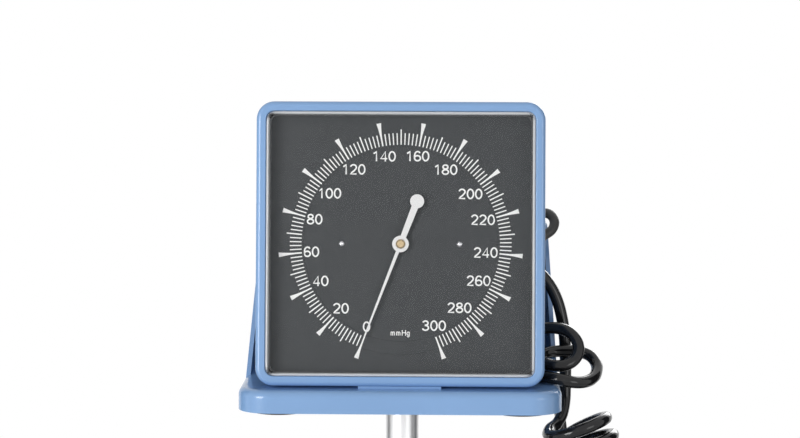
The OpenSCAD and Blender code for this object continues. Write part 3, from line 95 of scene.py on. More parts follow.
class NodeTree:
    """The nodes of a material or of the world, with short calls for what these share."""

    def __init__(self, owner: bpy.types.Material | bpy.types.World) -> None:
        """Opens the nodes, which have the Principled shader or the Background alone.

        Args:
            owner: What the nodes belong to.
        """
        owner.use_nodes = True
        self.tree = owner.node_tree
        kind = "Principled BSDF" if isinstance(owner, bpy.types.Material) else "Background"
        self.shader = self.tree.nodes[kind]

    def node(self, kind: str, **values: object) -> bpy.types.Node:
        """Adds a node and sets its properties.

        Args:
            kind: Blender's name for the node.
            **values: Its properties.

        Returns:
            The node.
        """
        made = self.tree.nodes.new(kind)
        for key, value in values.items():
            setattr(made, key, value)
        return made

    def join(self, source: Socket, target: Socket) -> None:
        """Links two sockets."""
        self.tree.links.new(source, target)

    def feed(self, target: Socket, value: object) -> None:
        """Puts a number, a vector or another node's output into a socket.

        Args:
            target: The socket.
            value: What goes into it.
        """
        if isinstance(value, Socket):
            self.join(value, target)
        else:
            target.default_value = value

    def place(self, scale: Point = (1, 1, 1), turn: Point = (0, 0, 0),
              shift: Point = (0, 0, 0)) -> Socket:
        """Object coordinates, moved, turned and scaled.

        Args:
            scale: Factor on each axis; small ones stretch a pattern along that axis.
            turn: Euler angles in radians.
            shift: Where the pattern's own zero is moved to, after its scaling.

        Returns:
            The vector socket.
        """
        mapping = self.node("ShaderNodeMapping")
        mapping.inputs["Scale"].default_value = scale
        mapping.inputs["Rotation"].default_value = turn
        mapping.inputs["Location"].default_value = shift
        self.join(self.node("ShaderNodeTexCoord").outputs["Object"], mapping.inputs["Vector"])
        return mapping.outputs["Vector"]

    def noise(self, where: Socket, size: float, detail: float = 2.0) -> Socket:
        """Soft noise whose spots are about size metres across, from 0 to 1.

        Args:
            where: Coordinates.
            size: Size of its spots.
            detail: How many finer layers it has.

        Returns:
            The number socket.
        """
        made = self.node("ShaderNodeTexNoise")
        made.inputs["Scale"].default_value = 1 / size
        made.inputs["Detail"].default_value = detail
        self.join(where, made.inputs["Vector"])
        return made.outputs["Fac"]

    def span(self, source: Socket, low: object, high: object, start: float = 0.3, end: float = 0.7) -> Socket:
        """Maps what lies between start and end onto low to high, clamped.

        Args:
            source: What is mapped.
            low: Result at the start.
            high: Result at the end.
            start: Where the mapping starts.
            end: Where it ends.

        Returns:
            The number socket.
        """
        made = self.node("ShaderNodeMapRange")
        limits = {"From Min": start, "From Max": end, "To Min": low, "To Max": high, "Value": source}
        for key, value in limits.items():
            self.feed(made.inputs[key], value)
        return made.outputs["Result"]

    def axes(self, vector: Socket) -> tuple[Socket, Socket, Socket]:
        """The three parts of a vector.

        Args:
            vector: The vector socket.

        Returns:
            Its X, Y and Z.
        """
        parts = self.node("ShaderNodeSeparateXYZ")
        self.join(vector, parts.inputs["Vector"])
        return parts.outputs["X"], parts.outputs["Y"], parts.outputs["Z"]

    def looked_at(self) -> Socket:
        """1 for what the camera, a mirror or glass looks at, and 0 for light on its way to the object.

        Returns:
            The number socket.
        """
        path = self.node("ShaderNodeLightPath")
        seen = path.outputs["Is Camera Ray"]
        for ray in ("Is Glossy Ray", "Is Transmission Ray"):
            seen = self.reckon("MAXIMUM", seen, path.outputs[ray])
        return seen

    def reckon(self, operation: str, first: object, second: object = 0.0) -> Socket:
        """One step of arithmetic on numbers or sockets.

        Args:
            operation: Blender's name for the step.
            first: A number or a socket.
            second: A number or a socket.

        Returns:
            The number socket.
        """
        made = self.node("ShaderNodeMath", operation=operation)
        self.feed(made.inputs[0], first)
        self.feed(made.inputs[1], second)
        return made.outputs["Value"]

    def tint(self, share: Socket, first: Colour | Socket, second: Colour) -> Socket:
        """Colour between two, by a share from 0 to 1.

        Args:
            share: How much of the second colour.
            first: The first colour.
            second: The second colour.

        Returns:
            The colour socket.
        """
        made = self.node("ShaderNodeMix", data_type="RGBA")
        self.join(share, made.inputs["Factor"])
        for key, colour in (("A", first), ("B", second)):
            self.feed(made.inputs[key], colour if isinstance(colour, Socket) else (*colour, 1))
        return made.outputs["Result"]

    def relief(self, height: Socket, depth: float) -> None:
        """Raises the surface by a height from 0 to 1, over a depth in metres.

        Args:
            height: The height's socket.
            depth: The depth.
        """
        bump = self.node("ShaderNodeBump")
        bump.inputs["Distance"].default_value = depth
        self.join(height, bump.inputs["Height"])
        self.join(bump.outputs["Normal"], self.shader.inputs["Normal"])

    def set(self, **values: object) -> None:
        """Sets sockets of the shader by name, with _ for a space."""
        for key, value in values.items():
            self.feed(self.shader.inputs[key.replace("_", " ")], value)


def shade(colour: Colour, factor: float) -> Colour:
    """A colour made lighter or darker."""
    return tuple(min(1.0, part * factor) for part in colour)


@dataclass(frozen=True)
class Finish:
    """What every finish has."""

    name: str
    colour: Colour
    roughness: float

    def material(self) -> bpy.types.Material:
        """Builds the material.

        Returns:
            The material.
        """
        made = bpy.data.materials.new(self.name)
        tree = NodeTree(made)
        tree.set(Roughness=self.roughness, Base_Color=(*self.colour, 1))
        self.dress(tree)
        return made

    def dress(self, tree: NodeTree) -> None:
        """Adds what this finish has of its own."""

    def tones(self, tree: NodeTree, share: Socket, low: float, high: float) -> Socket:
        """Its colour times a factor, from low to high by a share from 0 to 1."""
        return tree.tint(share, shade(self.colour, low), shade(self.colour, high))

    def rubbed(self, tree: NodeTree, pattern: Socket, low: float, high: float, start: float = 0.3,
               end: float = 0.7) -> Socket:
        """Its roughness times a factor, from low to high by a pattern."""
        return tree.span(pattern, self.roughness * low, self.roughness * high, start, end)


@dataclass(frozen=True)
class GlossMoulding(Finish):
    """Glossy injection-moulded plastic with a slight ripple and wiped, rubbed patches."""

    ripple: float = 0.02 * MM

    def dress(self, tree: NodeTree) -> None:
        """Adds flow shades, rubbed gloss and the ripple of the skin.

        Args:
            tree: Nodes of the material.
        """
        where = tree.place()
        flow = tree.noise(where, 60 * MM, 3)
        tree.set(
            Base_Color=self.tones(tree, tree.span(flow, 0, 1), 0.965, 1.03),
            Roughness=self.rubbed(tree, tree.noise(where, 9 * MM, 5), 0.82, 1.3),
            Specular_IOR_Level=0.5,
        )
        fine = tree.noise(where, 0.5 * MM, 1)
        waves = tree.reckon("ADD", tree.noise(where, 4 * MM, 1), tree.reckon("MULTIPLY", fine, 0.12))
        tree.relief(waves, self.ripple)


@dataclass(frozen=True)
class GrainedMoulding(Finish):
    """Plastic from a spark-eroded mould: a fine leathery grain, paler where it is handled."""

    grain: float = 0.7 * MM
    depth: float = 0.05 * MM
    shades: Spot = (0.88, 1.22)

    def dress(self, tree: NodeTree) -> None:
        """Adds the grain and its worn shades.

        Args:
            tree: Nodes of the material.
        """
        where = tree.place()
        cells = tree.node("ShaderNodeTexVoronoi", feature="SMOOTH_F1")
        cells.inputs["Scale"].default_value = 1 / self.grain
        tree.join(where, cells.inputs["Vector"])
        worn = tree.span(tree.noise(where, 22 * MM, 4), 0, 1)
        tree.set(
            Base_Color=self.tones(tree, worn, *self.shades),
            Roughness=self.rubbed(tree, tree.noise(where, 5 * MM, 3), 0.9, 1.12),
        )
        tree.relief(cells.outputs["Distance"], self.depth)


@dataclass(frozen=True)
class BrushedMetal(Finish):
    """Metal with fine lines along one way, or lacquered and less of a mirror."""

    metal: float = 1.0
    along: Point = (0.02, 1, 1)
    line: float = 0.12 * MM
    depth: float = 0.006 * MM

    def dress(self, tree: NodeTree) -> None:
        """Adds the lines, and patches where they are worn smooth.

        Args:
            tree: Nodes of the material.
        """
        streaks = tree.noise(tree.place(scale=self.along), self.line, 2)
        patches = tree.noise(tree.place(), 14 * MM, 3)
        tree.set(
            Metallic=self.metal,
            Roughness=tree.reckon("MULTIPLY", self.rubbed(tree, streaks, 0.85, 1.15),
                                  tree.span(patches, 0.92, 1.1)),
            Base_Color=self.tones(tree, tree.span(streaks, 0, 1), 0.93, 1.04),
        )
        tree.relief(streaks, self.depth)


@dataclass(frozen=True)
class PlatedMetal(Finish):
    """Bright or turned metal with a faint waviness and tarnish in patches."""

    tarnish: float = 0.88

    def dress(self, tree: NodeTree) -> None:
        """Adds the tarnish and the waviness.

        Args:
            tree: Nodes of the material.
        """
        where = tree.place()
        spots = tree.span(tree.noise(where, 3 * MM, 5), 0, 1)
        tree.set(
            Metallic=1.0,
            Base_Color=self.tones(tree, spots, self.tarnish, 1),
            Roughness=self.rubbed(tree, tree.noise(where, 1.2 * MM, 3), 0.8, 1.3),
        )
        tree.relief(tree.noise(where, 0.8 * MM, 2), 0.008 * MM)


@dataclass(frozen=True)
class SoftRubber(Finish):
    """Matte rubber with a pale bloom and a fine skin."""

    bloom: float = 1.5
    skin: float = 0.35 * MM

    def dress(self, tree: NodeTree) -> None:
        """Adds the bloom and the skin.

        Args:
            tree: Nodes of the material.
        """
        where = tree.place()
        dusty = tree.span(tree.noise(where, 16 * MM, 5), 0, 1, 0.4, 0.75)
        tree.set(
            Base_Color=self.tones(tree, dusty, 1, self.bloom),
            Roughness=self.rubbed(tree, tree.noise(where, 3 * MM, 3), 0.9, 1.1),
            Sheen_Weight=0.06,
        )
        tree.relief(tree.noise(where, self.skin, 2), 0.03 * MM)


@dataclass(frozen=True)
class TwoTonePart(Finish):
    """A wheel's rubber tread round a hub of plastic, told apart by the distance to the axle."""

    centre: Point = (0, 0, 0)
    turn: float = 0.0
    hub: Colour = (0.2, 0.2, 0.21)
    tread_from: float = 19.6 * MM
    rib: float = 1.5 * MM

    def dress(self, tree: NodeTree) -> None:
        """Adds both colours, the tread's fine ribs and the hub's grain.

        Args:
            tree: Nodes of the material.
        """
        shift = Matrix.Rotation(-self.turn, 3, "Z") @ Vector(self.centre)
        where = tree.place(turn=(0, 0, -self.turn), shift=tuple(-shift))
        ahead, along, up = tree.axes(where)
        squares = tree.reckon("ADD", tree.reckon("POWER", ahead, 2.0), tree.reckon("POWER", up, 2.0))
        far = tree.reckon("SQRT", squares)
        tread = tree.span(far, 0, 1, self.tread_from - 0.1 * MM, self.tread_from + 0.1 * MM)
        worn = tree.noise(where, 6 * MM, 5)
        tree.set(
            Base_Color=tree.tint(tread, self.hub, self.colour),
            Roughness=tree.reckon("ADD", tree.span(tread, 0.36, self.roughness, 0, 1),
                                  tree.span(worn, -0.06, 0.06)),
        )
        ribs = tree.reckon("SINE", tree.reckon("MULTIPLY", along, 2 * math.pi / self.rib))
        height = tree.reckon("ADD", tree.reckon("MULTIPLY", ribs, tree.reckon("MULTIPLY", tread, 0.5)),
                          tree.noise(where, 0.6 * MM, 2))
        tree.relief(height, 0.04 * MM)


@dataclass(frozen=True)
class HoseSkin(Finish):
    """Smooth extruded hose: glossy, with long faint waves and dull scuffs."""

    def dress(self, tree: NodeTree) -> None:
        """Adds the waves and the scuffs.

        Args:
            tree: Nodes of the material.
        """
        where = tree.place()
        scuff = tree.noise(where, 4 * MM, 6)
        tree.set(
            Roughness=self.rubbed(tree, scuff, 0.7, 1.9, 0.4, 0.8),
            Base_Color=self.tones(tree, tree.span(scuff, 0, 1, 0.5, 0.8), 1, 1.6),
            Specular_IOR_Level=0.3,
            Coat_Weight=0.15,
            Coat_Roughness=0.06,
        )
        tree.relief(tree.noise(where, 2.5 * MM, 1), 0.03 * MM)


@dataclass(frozen=True)
class ClearMoulding(Finish):
    """Clear plastic of a box lens: seen through face on, and pale and bright along its moulded edge, where that
    brightness is a painted highlight.
    """

    head: HeadFrame = HeadFrame()
    # Half width and height of the lens inside its edge band of painted highlight.
    half: Spot = (73.05 * MM, 71.8 * MM)
    face_on: float = 0.012
    edge_on: float = 0.85

    def dress(self, tree: NodeTree) -> None:
        """Adds the clearness, from the angle and the place, with a painted highlight that makes a band along the
        edge pale and nearly opaque, and a gloss that wiping has dulled in patches.

        Args:
            tree: Nodes of the material.
        """
        turned = tree.node("ShaderNodeLayerWeight")
        turned.inputs["Blend"].default_value = 0.35
        where = tree.place()
        inverse = self.head.matrix().inverted()
        right, _, up = tree.axes(tree.place(turn=tuple(inverse.to_euler()), shift=tuple(inverse.translation)))
        # Painted highlight: outside half, the lens turns pale and nearly opaque, a bright frame line along its
        # rounded edge.
        side = tree.reckon("SUBTRACT", tree.reckon("ABSOLUTE", right), self.half[0])
        end = tree.reckon("SUBTRACT", tree.reckon("ABSOLUTE", up), self.half[1])
        rim = tree.span(tree.reckon("MAXIMUM", side, end), 0, 0.7, -0.1 * MM, 0.5 * MM)
        angled = tree.span(turned.outputs["Facing"], self.face_on, self.edge_on, 0.35, 1.0)
        tree.set(
            Alpha=tree.reckon("MAXIMUM", angled, rim),
            Roughness=self.rubbed(tree, tree.noise(where, 9 * MM, 3), 0.7, 1.8),
            IOR=1.49,
            Specular_IOR_Level=0.3,
        )
        tree.relief(tree.noise(where, 30 * MM, 1), 0.02 * MM)


@dataclass(frozen=True)
class PrintedInk(Finish):
    """Screen-printed ink or paint with a slight mottle."""

    mottle: float = 0.94
    skin: float = 0.004 * MM

    def dress(self, tree: NodeTree) -> None:
        """Adds the mottle and the ink's uneven skin.

        Args:
            tree: Nodes of the material.
        """
        where = tree.place()
        spots = tree.span(tree.noise(where, 1.6 * MM, 4), 0, 1)
        tree.set(
            Base_Color=self.tones(tree, spots, self.mottle, 1),
            Roughness=self.rubbed(tree, tree.noise(where, 4 * MM, 3), 0.9, 1.1),
        )
        if self.skin > 0:
            tree.relief(tree.noise(where, 0.3 * MM, 1), self.skin)


@dataclass(frozen=True)
class WovenCloth(Finish):
    """Coated nylon cloth in a plain weave that follows the piece's own UV map, in metres.

    The weave lies over and under in turn. The edges across V are bound with a smoother tape and
    sewn down, and stitches run along them.
    """

    thread: float = 0.45 * MM
    half_width: float = 69 * MM
    tape: float = 8 * MM
    stitch: float = 2.8 * MM
    seam_in: float = 1.6 * MM
    tape_colour: Colour = (0.02, 0.022, 0.03)

    def dress(self, tree: NodeTree) -> None:
        """Adds weave, with painted shade on its sunk crossings and painted highlight on its raised ones, binding
        tape, stitches, sheen and handling marks.

        Args:
            tree: Nodes of the material.
        """
        along, across, _ = tree.axes(tree.node("ShaderNodeUVMap", uv_map="weave").outputs["UV"])
        turn = math.pi / self.thread
        warp = tree.reckon("SINE", tree.reckon("MULTIPLY", along, turn))
        weft = tree.reckon("SINE", tree.reckon("MULTIPLY", across, turn))
        over = tree.reckon("MULTIPLY", warp, weft)
        edge = tree.reckon("SUBTRACT", tree.reckon("ABSOLUTE", across), self.half_width - self.tape)
        taped = tree.span(edge, 0, 1, -0.2 * MM, 0.2 * MM)
        wear = tree.noise(tree.place(), 18 * MM, 5)
        # Painted shade and highlight: the weave's colour is darker on the sunk crossings and lighter on the raised
        # ones, in the same pattern as its relief.
        cloth = self.tones(tree, tree.span(over, 0, 1, -1, 1), 0.72, 1.25)
        tree.set(
            Base_Color=tree.tint(taped, cloth, self.tape_colour),
            Roughness=self.rubbed(tree, wear, 0.9, 1.08),
            Sheen_Weight=0.25,
            Sheen_Roughness=0.4,
        )
        run = tree.reckon("SINE", tree.reckon("MULTIPLY", along, 2 * math.pi / self.stitch))
        dash = tree.span(run, 0, 1, -0.3, 0.1)
        off = tree.reckon("ABSOLUTE", tree.reckon("SUBTRACT", edge, self.seam_in))
        seam = tree.reckon("SUBTRACT", off, 0.35 * MM)
        stitch = tree.reckon("MULTIPLY", dash, tree.span(seam, 1, 0, -0.1 * MM, 0.1 * MM))
        height = tree.reckon("ADD", tree.reckon("MULTIPLY", over, 0.25), tree.reckon("MULTIPLY", taped, 1.0))
        height = tree.reckon("ADD", height, tree.reckon("MULTIPLY", stitch, 1.4))
        tree.relief(tree.reckon("ADD", height, tree.reckon("MULTIPLY", wear, 2.0)), 0.12 * MM)


# ---------------------------------------------------------------- shared making

def curve_slopes(points: Sequence[Vector]) -> list[Vector]:
    """Directions of a smooth curve at its points, as the part's source works them out.

    Args:
        points: The curve's points.

    Returns:
        One direction for each point.
    """
    last = len(points) - 1
    slopes = []
    for i in range(last + 1):
        if i in (0, last):
            a, b = (points[0], points[1]) if i == 0 else (points[last - 1], points[last])
            slopes.append((b - a).normalized())
            continue
        before, after = points[i] - points[i - 1], points[i + 1] - points[i]
        u, v = before.length, after.length
        slopes.append((after * u / v + before * v / u) / (u + v))
    return slopes


def on_curve(points: Sequence[Vector], i: int, t: float) -> Vector:
    """A place on the smooth curve, a share t of the way from one of its points to the next.

    Args:
        points: The curve's points.
        i: Number of the point before the place.
        t: Share of the way to the next point.

    Returns:
        The place.
    """
    slopes = curve_slopes(points[max(0, i - 1):i + 3])
    k = min(i, 1)
    reach = (points[i + 1] - points[i]).length
    s, c = t * t, t ** 3
    return ((2 * c - 3 * s + 1) * points[i] + (c - 2 * s + t) * reach * slopes[k]
            + (3 * s - 2 * c) * points[i + 1] + (c - s) * reach * slopes[k + 1])


def smooth(points: Sequence[Vector], steps: int) -> list[Vector]:
    """The smooth curve through points, with steps places for each stretch."""
    made = [on_curve(points, i, k / steps) for i in range(len(points) - 1) for k in range(steps)]
    return [*made, points[-1]]


def turned(place: Sequence[float], degrees: float, axis: str) -> Matrix:
    """A frame at a place, turned about one axis."""
    return Matrix.Translation(place) @ Matrix.Rotation(math.radians(degrees), 4, axis)


def run_length(points: Sequence[Vector]) -> float:
    """Length of a line through points."""
    return sum((b - a).length for a, b in zip(points, points[1:]))


def vectors(points: Iterable[Point]) -> list[Vector]:
    """Points as vectors."""
    return [Vector(point) for point in points]


def linked(name: str, data: bpy.types.ID | None) -> bpy.types.Object:
    """A new object in the scene.

    Args:
        name: Name of the object.
        data: Its mesh, curve, lamp or camera.

    Returns:
        The object.
    """
    made = bpy.data.objects.new(name, data)
    bpy.context.scene.collection.objects.link(made)
    return made


def stroke_curve(name: str, diameter: float, corners: int) -> bpy.types.Curve:
    """An empty curve whose lines are round and closed at their ends.

    Args:
        name: Name of the curve.
        diameter: Thickness of its lines.
        corners: Blender's bevel resolution.

    Returns:
        The curve.
    """
    data = bpy.data.curves.new(name, "CURVE")
    data.dimensions = "3D"
    data.bevel_depth = diameter / 2
    data.bevel_resolution = corners
    data.use_fill_caps = True
    return data


def add_line(data: bpy.types.Curve, points: Sequence[Sequence[float]], closed: bool = False) -> None:
    """Adds one line through points to a curve.

    Args:
        data: The curve.
        points: Places on the line.
        closed: Whether its end meets its start.
    """
    spline = data.splines.new("POLY")
    spline.points.add(len(points) - 1)
    for knot, place in zip(spline.points, points):
        knot.co = (*place, 1)
    spline.use_cyclic_u = closed
    spline.use_smooth = True


def tube_along(name: str, points: Sequence[Vector], diameter: float, corners: int) -> bpy.types.Object:
    """A round tube as a curve of one open spline.

    Args:
        name: Name of the piece.
        points: Its middle line.
        diameter: Outside diameter.
        corners: Blender's bevel resolution.

    Returns:
        The curve object.
    """
    data = stroke_curve(name, diameter, corners)
    add_line(data, points)
    return linked(name, data)


def piece_from(name: str, mesh: bmesh.types.BMesh, sharp: float = 35.0) -> bpy.types.Object:
    """Turns a finished bmesh into a piece at the origin, smooth but for its sharp edges.

    Args:
        name: Name of the piece.
        mesh: The bmesh, which is used up.
        sharp: Angle in degrees from which an edge stays sharp.

    Returns:
        The mesh object.
    """
    bmesh.ops.recalc_face_normals(mesh, faces=mesh.faces)
    data = bpy.data.meshes.new(name)
    mesh.to_mesh(data)
    mesh.free()
    data.shade_smooth()
    data.set_sharp_from_angle(angle=math.radians(sharp))
    return linked(name, data)


def new_parts(made: dict[str, Any], kind: type) -> list[Any]:
    """What an operator has made, of one kind."""
    return [part for part in made["geom"] if isinstance(part, kind)]


def grown_rows(mesh: bmesh.types.BMesh, columns: Sequence[float], steps: int
               ) -> Iterator[tuple[int, list[bmesh.types.BMVert]]]:
    """Grows a sheet row by row, while the caller puts each row in its place.

    Args:
        mesh: The bmesh.
        columns: Places of a row's vertices along X.
        steps: How many rows follow the first.

    Returns:
        The number of each row with its vertices, in the order of X.
    """
    knots = [mesh.verts.new((x, 0, 0)) for x in columns]
    front = [mesh.edges.new(pair) for pair in zip(knots, knots[1:])]
    yield 0, knots
    for k in range(1, steps + 1):
        made = bmesh.ops.extrude_edge_only(mesh, edges=front)
        knots = sorted(new_parts(made, bmesh.types.BMVert), key=lambda vert: vert.co.x)
        held = set(knots)
        front = [edge for edge in new_parts(made, bmesh.types.BMEdge) if held.issuperset(edge.verts)]
        yield k, knots


def walled(piece: bpy.types.Object, thickness: float, edge: float) -> bpy.types.Modifier:
    """Gives an open sheet a thickness on its inner side, and soft edges.

    Args:
        piece: The sheet.
        thickness: Its thickness.
        edge: Width of the bevel along its edges.

    Returns:
        The modifier that holds the thickness.
    """
    wall = piece.modifiers.new("wall", "SOLIDIFY")
    wall.thickness = thickness
    wall.offset = -1
    edges = piece.modifiers.new("edges", "BEVEL")
    edges.width = edge
    edges.segments = 2
    edges.limit_method = "ANGLE"
    edges.angle_limit = math.radians(60)
    return wall


def lathe(profile: Sequence[Spot], steps: int, place: Matrix) -> bmesh.types.BMesh:
    """Turns a profile of (radius, height) about Z and puts it in place.

    Args:
        profile: Points from one end of the axis to the other.
        steps: Steps of the full turn.
        place: Where the lathe's frame goes.

    Returns:
        The bmesh.
    """
    mesh = bmesh.new()
    knots = [mesh.verts.new((radius, 0, height)) for radius, height in profile]
    edges = [mesh.edges.new(pair) for pair in zip(knots, knots[1:])]
    bmesh.ops.spin(mesh, geom=knots + edges, cent=(0, 0, 0), axis=(0, 0, 1), angle=2 * math.pi,
                   steps=steps, use_merge=True)
    bmesh.ops.remove_doubles(mesh, verts=mesh.verts, dist=0.005 * MM)
    bmesh.ops.transform(mesh, matrix=place, verts=mesh.verts)
    return mesh


def fit(piece: bpy.types.Object, material: bpy.types.Material, body: str) -> bpy.types.Object:
    """Gives a new piece its material and the body that it rides on.

    Args:
        piece: The piece.
        material: Its material.
        body: The body that carries it.

    Returns:
        The piece.
    """
    piece.data.materials.clear()
    piece.data.materials.append(material)
    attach(piece, body)
    LOG.info("%s rides on %s", piece.name, body)
    return piece


# ---------------------------------------------------------------- the print on the dial

class Grade(Enum):
    """The dial's marks, each as (radius, width) from its inner end outwards."""

    MINOR = ((55.2 * MM, 0.62 * MM), (61.7 * MM, 0.62 * MM))
    TEN = ((55.2 * MM, 0.7 * MM), (63.7 * MM, 0.7 * MM))
    TWENTY = ((55.2 * MM, 0.8 * MM), (58.8 * MM, 0.82 * MM), (61.4 * MM, 1.05 * MM), (63.8 * MM, 1.5 * MM),
              (66 * MM, 2.05 * MM), (68.1 * MM, 2.65 * MM))


def bow(x: float, y: float, wide: float, tall: float, start: float, end: float) -> list[Spot]:
    """Part of an oval round a place, from one angle in degrees to another.

    Args:
        x: Middle of the oval, to the right.
        y: Middle of the oval, upwards.
        wide: Half its width.
        tall: Half its height.
        start: First angle.
        end: Last angle.

    Returns:
        Points along it.
    """
    steps = max(4, int(abs(end - start) / 18))
    turns = [math.radians(start + (end - start) * k / steps) for k in range(steps + 1)]
    return [(round(x + wide * math.cos(turn), 5), round(y + tall * math.sin(turn), 5)) for turn in turns]


@dataclass(frozen=True)
class PrintStrokes:
    """Plain digits and letters as strokes of one weight, in heights of a capital."""

    weight: float = 0.145
    digit: float = 0.78
    wide: dict[str, float] = field(default_factory=lambda: {"m": 1.16, "H": 1.0})

    def glyphs(self) -> dict[str, list[list[Spot]]]:
        """The strokes of each letter.

        Returns:
            Lists of strokes by letter.
        """
        low = self.weight / 2
        arch = bow(0.235, 0.45, 0.175, 0.215, 180, 0)
        left, right = ([(x + along, y) for x, y in arch] for along in (0.04, 0.41))
        return {
            "0": [bow(0.39, 0.5, 0.285, 0.5 - low, 0, 360)],
            "1": [[(0.47, low / 2), (0.47, 1 - low), (0.38, 0.86), (0.2, 0.74)]],
            "2": [[*bow(0.38, 0.69, 0.275, 0.31 - low, 170, -35), (0.44, 0.37), (0.21, 0.19), (0.11, low),
                   (0.67, low)]],
            "3": [[*bow(0.37, 0.735, 0.24, 0.265 - low, 165, -75), (0.3, 0.53)],
                  [(0.3, 0.53), *bow(0.37, 0.295, 0.285, 0.295 - low, 78, -165)]],
            "4": [[(0.53, 0.02), (0.53, 1 - low), (0.09, 0.28), (0.7, 0.28)]],
            "6": [bow(0.395, 0.31, 0.28, 0.31 - low, 0, 360),
                  [(0.115, 0.33), (0.12, 0.55), (0.17, 0.76), (0.27, 0.89), (0.41, 1 - low), (0.55, 0.9),
                   (0.63, 0.78)]],
            "8": [bow(0.39, 0.745, 0.235, 0.255 - low, 0, 360), bow(0.39, 0.285, 0.285, 0.285 - low, 0, 360)],
            "m": [[(0.1, 0.02), (0.1, 0.71)], [*left, (0.45, 0.02)], [*right, (0.82, 0.02)]],
            "H": [[(0.12, 0), (0.12, 1)], [(0.12, 0.53), (0.82, 0.53)], [(0.82, 0), (0.82, 1)]],
            "g": [bow(0.35, 0.36, 0.24, 0.3, 0, 360), [(0.6, 0.7), (0.6, 0), *bow(0.36, 0, 0.24, 0.22, 0, -150)]],
        }

    def line(self, text: str) -> list[list[Spot]]:
        """The strokes of a line of text, one letter after the other.

        Args:
            text: What is written.

        Returns:
            The strokes of all its letters.
        """
        made, along, known = [], 0.0, self.glyphs()
        for letter in text:
            made += [[(x + along, y) for x, y in stroke] for stroke in known[letter]]
            along += self.wide.get(letter, self.digit)
        return made


